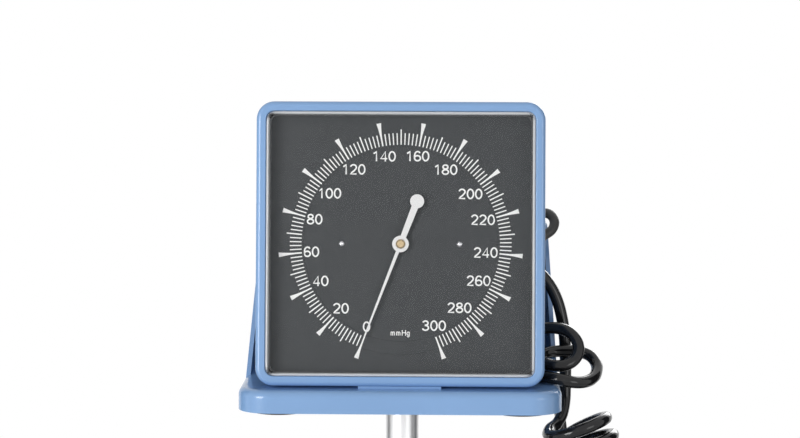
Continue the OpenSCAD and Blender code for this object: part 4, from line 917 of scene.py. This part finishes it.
@dataclass
class GaugeDial:
    """The printed scale of the dial: marks, numbers and unit, and the raised ring under the marks."""

    head: HeadFrame
    face: float = 9 * MM
    ridge: tuple[float, float, float] = (54.2 * MM, 61.6 * MM, 0.22 * MM)
    zero_at: float = math.radians(21)
    per_unit: float = math.radians(1.06)
    top: int = 300
    strokes: PrintStrokes = field(default_factory=PrintStrokes)
    flatness: float = 0.12
    sunk: float = 0.02 * MM
    number_size: Spot = (6.0 * MM, 0.98)
    unit_size: Spot = (3.1 * MM, 0.86)
    unit_place: Spot = (0, -49.4 * MM)
    number_places: dict[int, Spot] = field(default_factory=lambda: {
        0: (-33.4, -82.3), 20: (-58.9, -64.2), 40: (-79.3, -37.1), 60: (-88.6, -8.2),
        80: (-85.6, 24.2), 100: (-70.5, 50.0), 120: (-46.5, 73.9), 140: (-16.4, 87.0),
        160: (16.9, 87.3), 180: (44.8, 74.0), 200: (69.1, 50.0), 220: (81.7, 24.4),
        240: (84.6, -8.1), 260: (77.7, -36.1), 280: (58.8, -63.0), 300: (33.5, -80.9),
    })
    pixel: float = 0.56 * MM
    # Outlines of the ring of painted shade round the dial: half width, half height and corner radius of each.
    border_rings: tuple[Point, Point] = ((74.3 * MM, 73.05 * MM, 5 * MM), (72.3 * MM, 71.05 * MM, 3 * MM))
    border_depths: Spot = (9.35 * MM, 9.85 * MM)
    corner_steps: int = 8

    def ridge_ring(self) -> bpy.types.Object:
        """The faint raised ring that carries the marks.

        Returns:
            The mesh object.
        """
        inside, outside, rise = self.ridge
        soft = 0.15 * MM
        profile = [(inside - soft, 0.02 * MM), (inside, -rise), (outside, -rise), (outside + soft, 0.02 * MM)]
        place = self.head.matrix() @ turned((0, self.face, 0), -90, "X")
        return piece_from("dial_ridge", lathe(profile, steps=144, place=place))

    def mark(self, mesh: bmesh.types.BMesh, value: int) -> None:
        """Adds one mark, a thin bar that flares outwards like a trumpet if it is a twenty.

        Args:
            mesh: The bmesh that gets the mark.
            value: Pressure that it stands for, in mmHg.
        """
        grade = Grade.TWENTY if value % 20 == 0 else Grade.TEN if value % 10 == 0 else Grade.MINOR
        low, high = self.face - self.ridge[2] - 0.05 * MM, self.face + 0.01 * MM
        sides = [(width / 2, -radius) for radius, width in grade.value]
        rim = [*sides, *((-x, z) for x, z in reversed(sides))]
        face = mesh.faces.new([mesh.verts.new((x, low, z)) for x, z in rim])
        back = new_parts(bmesh.ops.extrude_face_region(mesh, geom=[face]), bmesh.types.BMVert)
        bmesh.ops.translate(mesh, vec=(0, high - low, 0), verts=back)
        bar = [*back, *face.verts]
        angle = self.zero_at + self.per_unit * value
        bmesh.ops.rotate(mesh, verts=bar, cent=(0, 0, 0), matrix=Matrix.Rotation(angle, 3, "Y"))

    def marks(self) -> bpy.types.Object:
        """All marks of the scale, every 2 mmHg.

        Returns:
            The mesh object.
        """
        mesh = bmesh.new()
        for value in range(0, self.top + 1, 2):
            self.mark(mesh, value)
        bmesh.ops.transform(mesh, matrix=self.head.matrix(), verts=mesh.verts)
        return piece_from("dial_marks", mesh)

    def words(self, name: str, text: str, size: Spot, spot: Spot) -> bpy.types.Object:
        """One line of print, upright on the dial.

        Args:
            name: Name of the piece.
            text: What it says.
            size: Height of its capitals or digits, and the width of its letters against their drawn width.
            spot: Its middle, to the right of and above the dial's centre.

        Returns:
            The mesh object, in place.
        """
        height, stretch = size
        data = stroke_curve(name, self.strokes.weight * height, corners=1)
        for stroke in self.strokes.line(text):
            closed = stroke[0] == stroke[-1]
            points = [(x * height * stretch, y * height, 0) for x, y in stroke]
            add_line(data, points[:-1] if closed else points, closed)
        holder = linked(name, data)
        bpy.context.view_layer.update()
        mesh = bmesh.new()
        mesh.from_mesh(bpy.data.meshes.new_from_object(holder))
        bpy.data.objects.remove(holder)
        xs = [vert.co.x for vert in mesh.verts]
        middle = Vector(((min(xs) + max(xs)) / 2, height / 2, 0))
        bmesh.ops.translate(mesh, vec=-middle, verts=mesh.verts)
        bmesh.ops.scale(mesh, vec=(1, 1, self.flatness), verts=mesh.verts)
        place = self.head.matrix() @ turned((spot[0], self.face - self.sunk, spot[1]), 90, "X")
        bmesh.ops.transform(mesh, matrix=place, verts=mesh.verts)
        return piece_from(name, mesh, sharp=80)

    def border(self) -> bpy.types.Object:
        """A flat dark ring between the lens's wall and the case, level with the dial: painted shade, where the
        lens's wall looks dark by its inner reflection.

        Returns:
            The mesh object.
        """
        front, back = self.border_depths
        mesh = bmesh.new()
        rings = []
        for half_x, half_z, corner in self.border_rings:
            ring = []
            for quarter, (right, up) in enumerate(((1, 1), (-1, 1), (-1, -1), (1, -1))):
                middle = Vector((right * (half_x - corner), front, up * (half_z - corner)))
                for k in range(self.corner_steps + 1):
                    turn = math.pi / 2 * (quarter + k / self.corner_steps)
                    ring.append(mesh.verts.new(middle + corner * Vector((math.cos(turn), 0, math.sin(turn)))))
            rings.append(ring)
        outer, inner = rings
        faces = [mesh.faces.new(corners) for corners in
                 zip(outer, [*outer[1:], outer[0]], [*inner[1:], inner[0]], inner)]
        behind = new_parts(bmesh.ops.extrude_face_region(mesh, geom=faces), bmesh.types.BMVert)
        bmesh.ops.translate(mesh, vec=(0, back - front, 0), verts=behind)
        bmesh.ops.transform(mesh, matrix=self.head.matrix(), verts=mesh.verts)
        return piece_from("dial_painted_shade_ring", mesh)

    def build(self, print_white: bpy.types.Material, paint: bpy.types.Material, rubber: bpy.types.Material) -> None:
        """Makes and dresses the whole print, and the ring of painted shade round it.

        Args:
            print_white: Material of the print.
            paint: Material of the dial.
            rubber: Material of the ring of painted shade, the lens seal's rubber.
        """
        fit(self.border(), rubber, "basket")
        fit(self.ridge_ring(), paint, "basket")
        fit(self.marks(), print_white, "basket")
        for value, (right, up) in self.number_places.items():
            place = (right * self.pixel, up * self.pixel)
            number = self.words(f"dial_number_{value}", str(value), self.number_size, place)
            fit(number, print_white, "basket")
        fit(self.words("dial_unit", "mmHg", self.unit_size, self.unit_place), print_white, "basket")


# ---------------------------------------------------------------- hose and tubes

@dataclass
class PressureLine:
    """The hose from the gauge to the cuff's connector, and the two thin tubes at the cuff."""

    hose_diameter: float = 6.8 * MM
    tube_diameter: float = 5.8 * MM
    curl_diameter: float = 34 * MM
    curls: int = 21
    first_curl: int = 6
    curl_steps: int = 8
    nudge: float = 0.02
    foot: Spot = (8 * MM, 15 * MM)
    elbow: tuple[Point, Point] = (
        (0.00802, -0.00942, 0.94708),
        (0.01409, -0.00905, 0.95056),
    )
    coil_top: Point = (0.0944, -0.009, 0.908)
    lead: tuple[Point, ...] = (
        (0.034, -0.008, 0.961), (0.05, -0.008, 0.9653), (0.065, -0.0084, 0.9648), (0.0765, -0.009, 0.9602),
        (0.0844, -0.0093, 0.952), (0.0892, -0.0095, 0.9425), (0.0922, -0.0095, 0.9315), (0.0938, -0.0093, 0.92),
    )
    into_coil: tuple[Point, ...] = (
        (0.0944, -0.0092, 0.8995), (0.0943, -0.01, 0.8915), (0.0939, -0.012, 0.884), (0.0924, -0.0156, 0.8774),
        (0.0896, -0.0204, 0.873),
    )
    coil_line: tuple[Point, ...] = (
        (0.096, -0.036, 0.883), (0.1055, -0.036, 0.8605), (0.1105, -0.0335, 0.837), (0.111, -0.027, 0.8135),
        (0.109, -0.0165, 0.791), (0.1065, -0.004, 0.7695), (0.104, 0.009, 0.749), (0.1015, 0.023, 0.729),
        (0.1005, 0.038, 0.71),
    )
    way_back: tuple[Point, ...] = (
        (0.0808, 0.0225, 0.6933), (0.0801, 0.0222, 0.6846), (0.0806, 0.0263, 0.6769),
        (0.083, 0.0338, 0.6722), (0.087, 0.0425, 0.6719), (0.092, 0.0503, 0.676),
        (0.098, 0.0585, 0.684), (0.104, 0.066, 0.695), (0.1085, 0.072, 0.708), (0.1115, 0.0765, 0.723),
        (0.112, 0.08, 0.74), (0.1105, 0.083, 0.757), (0.107, 0.0865, 0.778), (0.103, 0.089, 0.8),
        (0.1, 0.09, 0.822), (0.098, 0.09, 0.845), (0.0945, 0.09, 0.868), (0.089, 0.088, 0.89),
        (0.0835, 0.086, 0.914), (0.0795, 0.0845, 0.938), (0.0765, 0.0843, 0.96),
        (0.0755, 0.0832, 0.976), (0.0752, 0.079, 0.9832), (0.075, 0.0706, 0.9864),
        (0.0752, 0.062, 0.9832), (0.0758, 0.0576, 0.975), (0.077, 0.055, 0.96), (0.0783, 0.052, 0.942),
        (0.0794, 0.047, 0.924), (0.0802, 0.038, 0.9095), (0.0805, 0.027, 0.9043),
        (0.0805, 0.012, 0.9038), (0.0802, -0.008, 0.9038), (0.0789, -0.024, 0.9038),
        (0.0783, -0.035, 0.9038), (0.0796, -0.0426, 0.9038), (0.0832, -0.0476, 0.9038),
        (0.089, -0.0504, 0.9033), (0.0955, -0.0502, 0.9018), (0.102, -0.0466, 0.901),
        (0.1076, -0.04, 0.9018), (0.1109, -0.031, 0.9046), (0.1109, -0.0236, 0.9084),
        (0.1078, -0.019, 0.9118), (0.102, -0.017, 0.9138), (0.093, -0.017, 0.9142),
        (0.085, -0.0194, 0.9138), (0.0798, -0.0246, 0.9128), (0.0779, -0.031, 0.9119),
        (0.079, -0.037, 0.9113), (0.0826, -0.0418, 0.9104), (0.088, -0.0442, 0.9098),
        (0.0938, -0.0436, 0.9106), (0.0982, -0.041, 0.9136), (0.1002, -0.038, 0.9184),
        (0.0988, -0.0352, 0.9236), (0.0948, -0.0326, 0.9274), (0.0893, -0.0298, 0.929),
        (0.083, -0.0264, 0.9288), (0.0774, -0.021, 0.927), (0.071, -0.0154, 0.9236),
        (0.0635, -0.0086, 0.9192), (0.057, -0.0032, 0.915), (0.0505, -0.0005, 0.9125),
        (0.044, 0, 0.912), (0.038, 0, 0.912),
    )
    cuff_tube_route: tuple[Point, ...] = (
        (0.014, 0, 0.912), (0.008, 0, 0.912), (0.001, 0.0006, 0.9124), (-0.006, 0.003, 0.913),
        (-0.012, 0.0076, 0.9136), (-0.015, 0.0125, 0.914), (-0.015, 0.0155, 0.914),
    )
    bulb_tube_route: tuple[Point, ...] = (
        (0.0615, 0.04855, 0.96759), (0.0665, 0.04855, 0.96759), (0.073, 0.0465, 0.9744),
        (0.076, 0.0434, 0.9814), (0.0796, 0.0398, 0.9866), (0.0836, 0.0358, 0.9888),
        (0.0872, 0.0318, 0.9876), (0.089, 0.028, 0.984), (0.0876, 0.025, 0.98),
        (0.0828, 0.0228, 0.9766), (0.0756, 0.0206, 0.9722), (0.066, 0.0188, 0.9642),
        (0.0574, 0.0194, 0.9554), (0.0514, 0.0216, 0.9476), (0.0486, 0.023, 0.9436),
    )

    def curl_point(self, n: float) -> Vector:
        """A place on the hanging coil, n steps along its curls.

        Args:
            n: Number of the step, whole or not.

        Returns:
            The place.
        """
        line = vectors(self.coil_line)
        last = len(line) - 1
        u = last * n / self.coil_steps
        i = min(int(u), last - 1)
        after = on_curve(line, i, min(u - i + self.nudge, 1))
        along = (after - on_curve(line, i, max(u - i - self.nudge, 0))).normalized()
        right = along.cross(Vector((0, -1, 0))).normalized()
        back = right.cross(along)
        angle = 2 * math.pi * n / self.curl_steps
        swing = back * math.cos(angle) - right * math.sin(angle)
        return on_curve(line, i, u - i) + self.curl_diameter / 2 * swing

    @property
    def coil_steps(self) -> float:
        """Steps of the whole coil."""
        return self.curl_steps * (self.curls - 0.25)

    def middle_line(self) -> list[Vector]:
        """The hose's middle line from the elbow to the connector.

        Returns:
            Places along the hose.
        """
        lead = smooth(vectors([*self.elbow, *self.lead, self.coil_top]), 4)
        start = [self.curl_point(self.first_curl - 0.6), self.curl_point(self.first_curl)]
        down = smooth([*vectors([self.coil_top, *self.into_coil]), *start], 4)
        count = 3 * (int(self.coil_steps) - self.first_curl)
        curls = [self.curl_point(self.first_curl + k / 3) for k in range(1, count + 1)]
        end = self.curl_point(self.coil_steps)
        away = (end - self.curl_point(self.coil_steps - 0.2)).normalized()
        back = [*(end + reach * away for reach in self.foot), *vectors(self.way_back)]
        return [*lead, *down[1:], *curls, *smooth(back, 4)]

    def build(self, skin: bpy.types.Material, rubber: bpy.types.Material) -> None:
        """Args:
            skin: Material of the hose.
            rubber: Material of the tubes.
        """
        line = self.middle_line()
        hose = tube_along("pressure_hose", line, self.hose_diameter, corners=4)
        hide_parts("hose_lead", "hose_coil", "hose_return")
        fit(hose, skin, "basket")
        tuple(line[0])
        run_length(line)
        for name, route in (("cuff_tube", self.cuff_tube_route), ("bulb_tube", self.bulb_tube_route)):
            path = smooth(vectors(route), 5)
            tube = tube_along(f"{name}_soft", path, self.tube_diameter, corners=3)
            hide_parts(name)
            fit(tube, rubber, "basket")
            tuple(path[0])
            run_length(path)


# ---------------------------------------------------------------- cuff and hand bulb

@dataclass
class RolledCuff:
    """The cuff, rolled up with its bag inside, its free end lying along the outside of the roll."""

    left: float = -77 * MM
    width: float = 138 * MM
    middle_y: float = 34 * MM
    middle_z: float = 925.16667 * MM
    reach: float = 25 * MM
    step: float = 2.4 * MM
    seam: float = math.radians(290)
    turns: float = 5.3
    steps_a_turn: int = 72
    columns: int = 46
    cloth: float = 2.1 * MM
    bag: float = 3.1 * MM
    bag_turns: Spot = (1.1, 1.6)
    hem: Spot = (6 * MM, 0.82)
    soft: float = 0.55 * MM
    patch_angles: Spot = (math.radians(196), math.radians(116))
    patch_inset: float = 14 * MM
    patch_lift: float = 0.35 * MM
    patch_thick: float = 0.7 * MM
    patch_grid: tuple[int, int] = (38, 22)
    spout: Point = (-15 * MM, 16.6 * MM, 914 * MM)

    def radius(self, turns: float) -> float:
        """Outer radius of the sheet after some turns from its free end."""
        inner = max(0.0, turns - 1)
        return self.reach - self.step * turns - 0.3 * MM * inner ** 2

    def dent(self, x: float, angle: float) -> float:
        """How far the roll's skin is pressed in, the same for all its layers.

        Args:
            x: Place along the roll.
            angle: Angle round it.

        Returns:
            The depth.
        """
        spot = Vector((x / (34 * MM), 1.5 * math.cos(angle), 1.5 * math.sin(angle)))
        fine = Vector((x / (11 * MM), 4 * math.cos(angle), 4 * math.sin(angle)))
        wave = 0.5 + 0.5 * noise.noise(spot) + 0.22 * noise.noise(fine)
        return self.soft * min(1.0, max(0.0, wave))

    def place(self, x: float, angle: float, radius: float) -> Vector:
        """A place on the roll."""
        held = radius - self.dent(x, angle)
        return Vector((x, self.middle_y + held * math.cos(angle), self.middle_z + held * math.sin(angle)))

    def thickness(self, x: float, turn: float) -> float:
        """Thickness of the sheet, as a share of where the bag lies in it.

        Args:
            x: Place along the roll.
            turn: Turns from the free end.

        Returns:
            The share, up to 1.
        """
        start, full = self.bag_turns
        thick = self.cloth + (self.bag - self.cloth) * min(1.0, max(0.0, (turn - start) / (full - start)))
        wide, low = self.hem
        edge = min(x - self.left, self.left + self.width - x) / wide
        return min(1.0, thick * (low + (1 - low) * min(1.0, edge)) / self.bag)

    def sheet(self) -> bpy.types.Object:
        """The rolled cloth as one sheet with its bag's thickness inside the roll.

        Returns:
            The mesh object with its modifiers.
        """
        mesh = bmesh.new()
        along_layer = mesh.verts.layers.float.new("along")
        across_layer = mesh.verts.layers.float.new("across")
        columns = [self.left + self.width * k / self.columns for k in range(self.columns + 1)]
        along, last = 0.0, self.seam
        weights: list[float] = []
        for k, knots in grown_rows(mesh, columns, int(self.turns * self.steps_a_turn)):
            turn = k / self.steps_a_turn
            angle = self.seam - 2 * math.pi * turn
            radius = self.radius(turn)
            along += abs(last - angle) * radius
            last = angle
            for knot, x in zip(knots, columns):
                knot[along_layer] = along
                knot[across_layer] = x - self.left - self.width / 2
                weights.append(self.thickness(x, turn))
                knot.co.yz = self.place(x, angle, radius).yz
        uv = mesh.loops.layers.uv.new("weave")
        for face in mesh.faces:
            for loop in face.loops:
                loop[uv].uv = (loop.vert[along_layer], loop.vert[across_layer])
        bmesh.ops.recalc_face_normals(mesh, faces=mesh.faces)
        self.face_outwards(mesh)
        data = bpy.data.meshes.new("cuff_roll")
        mesh.to_mesh(data)
        mesh.free()
        data.shade_smooth()
        made = linked("cuff_roll", data)
        group = made.vertex_groups.new(name="thickness")
        for index, weight in enumerate(weights):
            group.add([index], weight, "REPLACE")
        wall = walled(made, self.bag, edge=0.55 * MM)
        wall.vertex_group = "thickness"
        wall.thickness_vertex_group = 0.0
        return made

    def face_outwards(self, mesh: bmesh.types.BMesh) -> None:
        """Turns the open sheet so that its faces look away from the roll's axis.

        Args:
            mesh: The sheet.
        """
        mesh.faces.ensure_lookup_table()
        first = mesh.faces[0]
        away = first.calc_center_median() - Vector((0, self.middle_y, self.middle_z))
        away.x = 0
        if first.normal.dot(away) < 0:
            bmesh.ops.reverse_faces(mesh, faces=mesh.faces)

    def patch(self) -> bpy.types.Object:
        """The loop pile patch sewn on the outside.

        Returns:
            The mesh object with its modifiers.
        """
        mesh = bmesh.new()
        start, end = self.left + self.patch_inset, self.left + self.width - self.patch_inset
        wide, steps = self.patch_grid
        columns = [start + (end - start) * k / wide for k in range(wide + 1)]
        first, last = self.patch_angles
        for k, knots in grown_rows(mesh, columns, steps):
            angle = first + (last - first) * k / steps
            radius = self.radius((self.seam - angle) / (2 * math.pi))
            for knot, x in zip(knots, columns):
                knot.co.yz = self.place(x, angle, radius + self.patch_lift).yz
        self.face_outwards(mesh)
        made = piece_from("cuff_patch", mesh, sharp=60)
        walled(made, self.patch_thick, edge=0.2 * MM)
        return made

    def spout_ring(self) -> bpy.types.Object:
        """The rubber collar where the tube enters the cuff.

        Returns:
            The mesh object.
        """
        outer, inner = 5.2 * MM, 2.95 * MM
        profile = [(inner, 1.6 * MM), (inner + 0.5 * MM, 2.3 * MM), (inner + 1.1 * MM, 2.2 * MM),
                   (inner + 1.4 * MM, 1.2 * MM), (outer, 0.6 * MM), (outer, -0.6 * MM), (inner, -0.6 * MM),
                   (inner, 1.6 * MM)]
        return piece_from("cuff_spout", lathe(profile, steps=40, place=turned(self.spout, 90, "X")))

    def build(self, cloth: bpy.types.Material, pile: bpy.types.Material, rubber: bpy.types.Material) -> None:
        """Args:
            cloth: Material of the roll.
            pile: Material of the patch.
            rubber: Material of the collar.
        """
        roll = self.sheet()
        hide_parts("cuff")
        fit(roll, cloth, "basket")
        fit(self.patch(), pile, "basket")
        fit(self.spout_ring(), rubber, "basket")


@dataclass
class HandBulb:
    """The hollow rubber bulb: a soft oval with a beaded neck at each end."""

    middle: Point = (10 * MM, 48.55172 * MM, 967.58684 * MM)
    length: float = 75 * MM
    diameter: float = 42 * MM
    neck: float = 8 * MM
    bore: float = 4 * MM
    depth: float = 10 * MM
    fullness: float = 0.72
    bead: Spot = (0.35 * MM, 1.7 * MM)
    lip: float = 0.8 * MM

    def outline(self) -> list[Spot]:
        """Half outline of the bulb, from one end to the other and back through its bores.

        Returns:
            Points of (radius, height).
        """
        half, steps = self.length / 2, 64
        rise, pitch = self.bead
        points = [(self.bore, self.depth - half), (self.bore, -half), (self.neck - self.lip, -half)]
        for k in range(1, steps):
            share = k / steps
            radius = self.diameter / 2 * math.sin(math.pi * share) ** self.fullness
            height = self.length * (share - 0.5)
            beaded = radius <= self.neck
            bead = rise * math.sin(2 * math.pi * (half - abs(height)) / pitch) if beaded else 0
            points.append((max(radius, self.neck - 0.3 * MM + bead), height))
        points += [(self.neck - self.lip, half), (self.bore, half), (self.bore, half - self.depth)]
        return [(0, self.depth - half), *points, (0, half - self.depth)]

    def build(self, rubber: bpy.types.Material) -> None:
        """Makes and dresses the bulb.

        Args:
            rubber: Material of the bulb.
        """
        mesh = lathe(self.outline(), steps=96, place=turned(self.middle, 90, "Y"))
        bulb = piece_from("hand_bulb", mesh, sharp=50)
        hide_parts("bulb")
        fit(bulb, rubber, "basket")


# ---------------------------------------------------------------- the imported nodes' finishes

@dataclass
class Castors:
    """Places of the five wheels, for the finish of each."""

    count: int = 5
    first: float = 234.0
    radius: float = 253 * MM
    height: float = 25 * MM

    def finish(self, index: int) -> TwoTonePart:
        """The finish of one wheel, centred on its axle.

        Args:
            index: Number of the wheel, from 0.

        Returns:
            The finish.
        """
        turn = math.radians(self.first + 360 / self.count * index)
        centre = (self.radius * math.cos(turn), self.radius * math.sin(turn), self.height)
        return TwoTonePart(f"wheel_{index + 1}_finish", (0.035, 0.035, 0.038), 0.58, centre=centre, turn=turn)


DIAL_PAINT = PrintedInk("dial_paint", (0.018, 0.0215, 0.0245), 0.6, mottle=0.97, skin=0.0)
SEAL_RUBBER = SoftRubber("seal_rubber", (0.03, 0.03, 0.032), 0.68)


@dataclass
class Wardrobe:
    """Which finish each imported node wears."""

    frame: dict[str, Any]
    worn: dict[str, bpy.types.Material] = field(default_factory=dict)

    def made(self, finish: Finish) -> bpy.types.Material:
        """The material of a finish, made once.

        Args:
            finish: The finish.

        Returns:
            Its material.
        """
        if finish.name not in self.worn:
            self.worn[finish.name] = finish.material()
        return self.worn[finish.name]

    def dress(self, finish: Finish, *nodes: str) -> None:
        """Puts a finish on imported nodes.

        Args:
            finish: The finish.
            *nodes: Names of the nodes.
        """
        material = self.made(finish)
        for name in nodes:
            for place in self.frame["nodes"][name].material_slots:
                place.material = material
            LOG.info("%s wears %s", name, finish.name)

    def build(self) -> None:
        """Dresses all nodes that the scene keeps."""
        self.dress(GlossMoulding("sky_gloss", (0.235, 0.405, 0.69), 0.17), "bezel", "tray", "hub_cap")
        self.dress(GrainedMoulding("sky_satin", (0.21, 0.37, 0.635), 0.4, grain=0.6 * MM, depth=0.02 * MM,
                                  shades=(0.975, 1.03)), "rear_case", "head_bracket")
        self.dress(ClearMoulding("lens_acrylic", (0.93, 0.95, 0.97), 0.05), "lens")
        self.dress(SEAL_RUBBER, "lens_seal", "rubber_feet")
        self.dress(DIAL_PAINT, "dial_plate")
        self.dress(PrintedInk("pointer_enamel", (0.86, 0.86, 0.86), 0.32, mottle=0.97), "pointer")
        self.dress(PlatedMetal("turned_brass", (0.6, 0.46, 0.27), 0.3), "pointer_boss", "push_pin",
                   "port_fitting", "port_nut")
        self.dress(BrushedMetal("stamped_brass", (0.76, 0.58, 0.3), 0.32, along=(0.03, 1, 1)), "front_plate",
                   "back_plate", "pillars", "sector_gear", "hairspring")
        self.dress(PlatedMetal("capsule_bronze", (0.66, 0.42, 0.24), 0.3, tarnish=0.78), "capsule")
        self.dress(BrushedMetal("ground_steel", (0.56, 0.56, 0.57), 0.22, along=(1, 0.05, 1), line=0.08 * MM),
                   "arbor_pinion", "rocking_shaft")
        self.dress(PlatedMetal("zinc_screws", (0.66, 0.66, 0.68), 0.26), "case_screws", "bracket_screws",
                   "socket_screws", "dial_screws", "base_bolt")
        self.dress(BrushedMetal("satin_tube", (0.9, 0.9, 0.9), 0.36, metal=0.85, along=(1, 1, 0.02)), "fixed_tube",
                   "sliding_tube")
        self.dress(GrainedMoulding("black_moulding", (0.022, 0.0225, 0.024), 0.46), "star_base", "pole_socket",
                   "height_collar")
        self.dress(GrainedMoulding("knob_moulding", (0.018, 0.018, 0.019), 0.36, grain=0.4 * MM, depth=0.02 * MM),
                   "height_knob", "socket_knob")
        self.dress(GlossMoulding("natural_nylon", (0.72, 0.7, 0.63), 0.42), "guide_bush")
        castors = Castors()
        self.dress(PlatedMetal("zinc_pressing", (0.62, 0.63, 0.66), 0.25, tarnish=0.9),
                   *(f"castor_{k + 1}" for k in range(castors.count)))
        self.dress(GrainedMoulding("pedal_moulding", (0.13, 0.13, 0.135), 0.42, grain=0.5 * MM, depth=0.03 * MM),
                   "brake_lever_1", "brake_lever_2")
        self.dress(HoseSkin("elbow_moulding", (0.011, 0.011, 0.012), 0.14), "hose_elbow")
        self.dress(PlatedMetal("bright_plate", (0.8, 0.8, 0.82), 0.1, tarnish=0.94), "hose_connector",
                   "valve_body", "valve_screw", "inlet_valve")
        for index in range(castors.count):
            self.dress(castors.finish(index), f"wheel_{index + 1}")


# ---------------------------------------------------------------- the studio

@dataclass(frozen=True)
class Lamp:
    """A soft square lamp that looks at the gauge."""

    name: str
    place: Point
    size: float
    power: float

    def build(self, target: Point) -> None:
        """Makes the lamp.

        Args:
            target: What the lamp looks at.
        """
        data = bpy.data.lights.new(self.name, "AREA")
        data.size = self.size
        data.energy = self.power
        made = linked(self.name, data)
        made.location = self.place
        made.rotation_euler = (Vector(target) - Vector(self.place)).to_track_quat("-Z", "Y").to_euler()


@dataclass
class Studio:
    """Camera, floor, surrounding light, lamps and the two dark flags beside the stand."""

    target: Point = (-0.00016, -0.06027, 0.9937)
    distance: float = 1.2
    turn: float = math.radians(1.41)
    pitch: float = math.radians(5.33)
    roll: float = math.radians(0.15)
    lens: float = 97.95
    floor_radius: float = 3.6
    floor_glow: float = 0.15
    sky: float = 0.4
    ground: float = 0.12
    horizon: Spot = (-0.3, 0.5)
    lamps: tuple[Lamp, ...] = (
        Lamp("key_lamp", (-1.75, -2.3, 1.2), 1.2, 48),
        Lamp("fill_lamp", (1.9, -2.2, 1.15), 1.2, 11),
        Lamp("back_lamp", (1.0, 2.4, 1.9), 1.4, 26),
    )
    flag_place: Point = (0.75, 0.28, 0.95)
    flag_size: Spot = (0.5, 1.3)

    def camera(self) -> None:
        """Makes the camera at the photograph's angle."""
        data = bpy.data.cameras.new("studio_camera")
        data.sensor_width = 36
        data.lens = self.lens
        data.clip_end = 50
        made = linked("studio_camera", data)
        level = math.cos(self.pitch)
        away = Vector((math.sin(self.turn) * level, -math.cos(self.turn) * level, math.sin(self.pitch)))
        made.location = Vector(self.target) + self.distance * away
        look = (-away).to_track_quat("-Z", "Y").to_matrix() @ Matrix.Rotation(self.roll, 3, "Z")
        made.rotation_euler = look.to_euler()
        bpy.context.scene.camera = made

    def floor(self) -> None:
        """Makes the pale floor, which is a little brighter to look at than the light it throws back."""
        mesh = bmesh.new()
        bmesh.ops.create_circle(mesh, cap_ends=True, segments=96, radius=self.floor_radius)
        made = piece_from("studio_floor", mesh)
        material = bpy.data.materials.new("pale_floor")
        tree = NodeTree(material)
        clouds = tree.span(tree.noise(tree.place(), 0.25, 3), 0, 1)
        tree.set(
            Base_Color=tree.tint(clouds, (0.82, 0.82, 0.82), (0.84, 0.84, 0.84)),
            Roughness=0.85,
            Emission_Color=(1, 1, 1, 1),
            Emission_Strength=tree.reckon("MULTIPLY", tree.looked_at(), self.floor_glow),
        )
        made.data.materials.append(material)

    def world(self) -> None:
        """White for the camera, mirrors and glass, and for the rest a sky that fades towards the ground."""
        world = bpy.data.worlds.new("studio_world")
        bpy.context.scene.world = world
        tree = NodeTree(world)
        _, _, height = tree.axes(tree.node("ShaderNodeTexCoord").outputs["Generated"])
        dome = tree.span(height, self.ground, self.sky, *self.horizon)
        tree.set(Color=(1, 1, 1, 1), Strength=tree.span(tree.looked_at(), dome, 1.0, 0.0, 1.0))

    def flag(self, name: str, side: int) -> None:
        """A dark upright board that the camera doesn't see, for a grey line down each shiny edge.

        Args:
            name: Name of the board.
            side: -1 for the left, 1 for the right.
        """
        mesh = bmesh.new()
        bmesh.ops.create_grid(mesh, x_segments=1, y_segments=1, size=0.5)
        bmesh.ops.scale(mesh, vec=(*self.flag_size, 1), verts=mesh.verts)
        right, *rest = self.flag_place
        turn = Matrix.Rotation(math.radians(90), 4, "Z") @ Matrix.Rotation(math.radians(90), 4, "X")
        bmesh.ops.transform(mesh, matrix=Matrix.Translation((side * right, *rest)) @ turn, verts=mesh.verts)
        made = piece_from(name, mesh)
        material = bpy.data.materials.new(name)
        NodeTree(material).set(Base_Color=(0.02, 0.02, 0.02, 1), Roughness=0.9)
        made.data.materials.append(material)
        made.visible_camera = made.visible_shadow = made.visible_diffuse = False

    def build(self) -> None:
        """Makes the whole studio."""
        self.camera()
        self.world()
        self.floor()
        for lamp in self.lamps:
            lamp.build(self.target)
        self.flag("flag_left", -1)
        self.flag("flag_right", 1)
        bpy.context.scene.view_settings.view_transform = "Standard"


# ---------------------------------------------------------------- all together


def main() -> None:
    """Builds the studio and all pieces."""
    logging.basicConfig(level=logging.INFO, format="%(message)s")
    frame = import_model()
    Studio().build()
    wardrobe = Wardrobe(frame)
    skin = wardrobe.made(HoseSkin("hose_skin", (0.011, 0.011, 0.012), 0.13))
    tube = wardrobe.made(SoftRubber("tube_rubber", (0.03, 0.03, 0.028), 0.5, bloom=1.3))
    PressureLine().build(skin, tube)
    wardrobe.build()
    white = wardrobe.made(PrintedInk("scale_white", (0.93, 0.93, 0.92), 0.5, mottle=0.97, skin=0.002 * MM))
    paint = wardrobe.made(DIAL_PAINT)
    GaugeDial(HeadFrame()).build(white, paint, wardrobe.made(SEAL_RUBBER))
    cloth = wardrobe.made(WovenCloth("navy_cloth", (0.016, 0.03, 0.075), 0.72))
    pile = wardrobe.made(SoftRubber("loop_pile", (0.012, 0.02, 0.05), 0.95, bloom=1.9, skin=0.5 * MM))
    RolledCuff().build(cloth, pile, tube)
    bulb_rubber = wardrobe.made(SoftRubber("bulb_rubber", (0.016, 0.016, 0.017), 0.46, bloom=1.5))
    HandBulb().build(bulb_rubber)


if __name__ == "__main__":
    main()
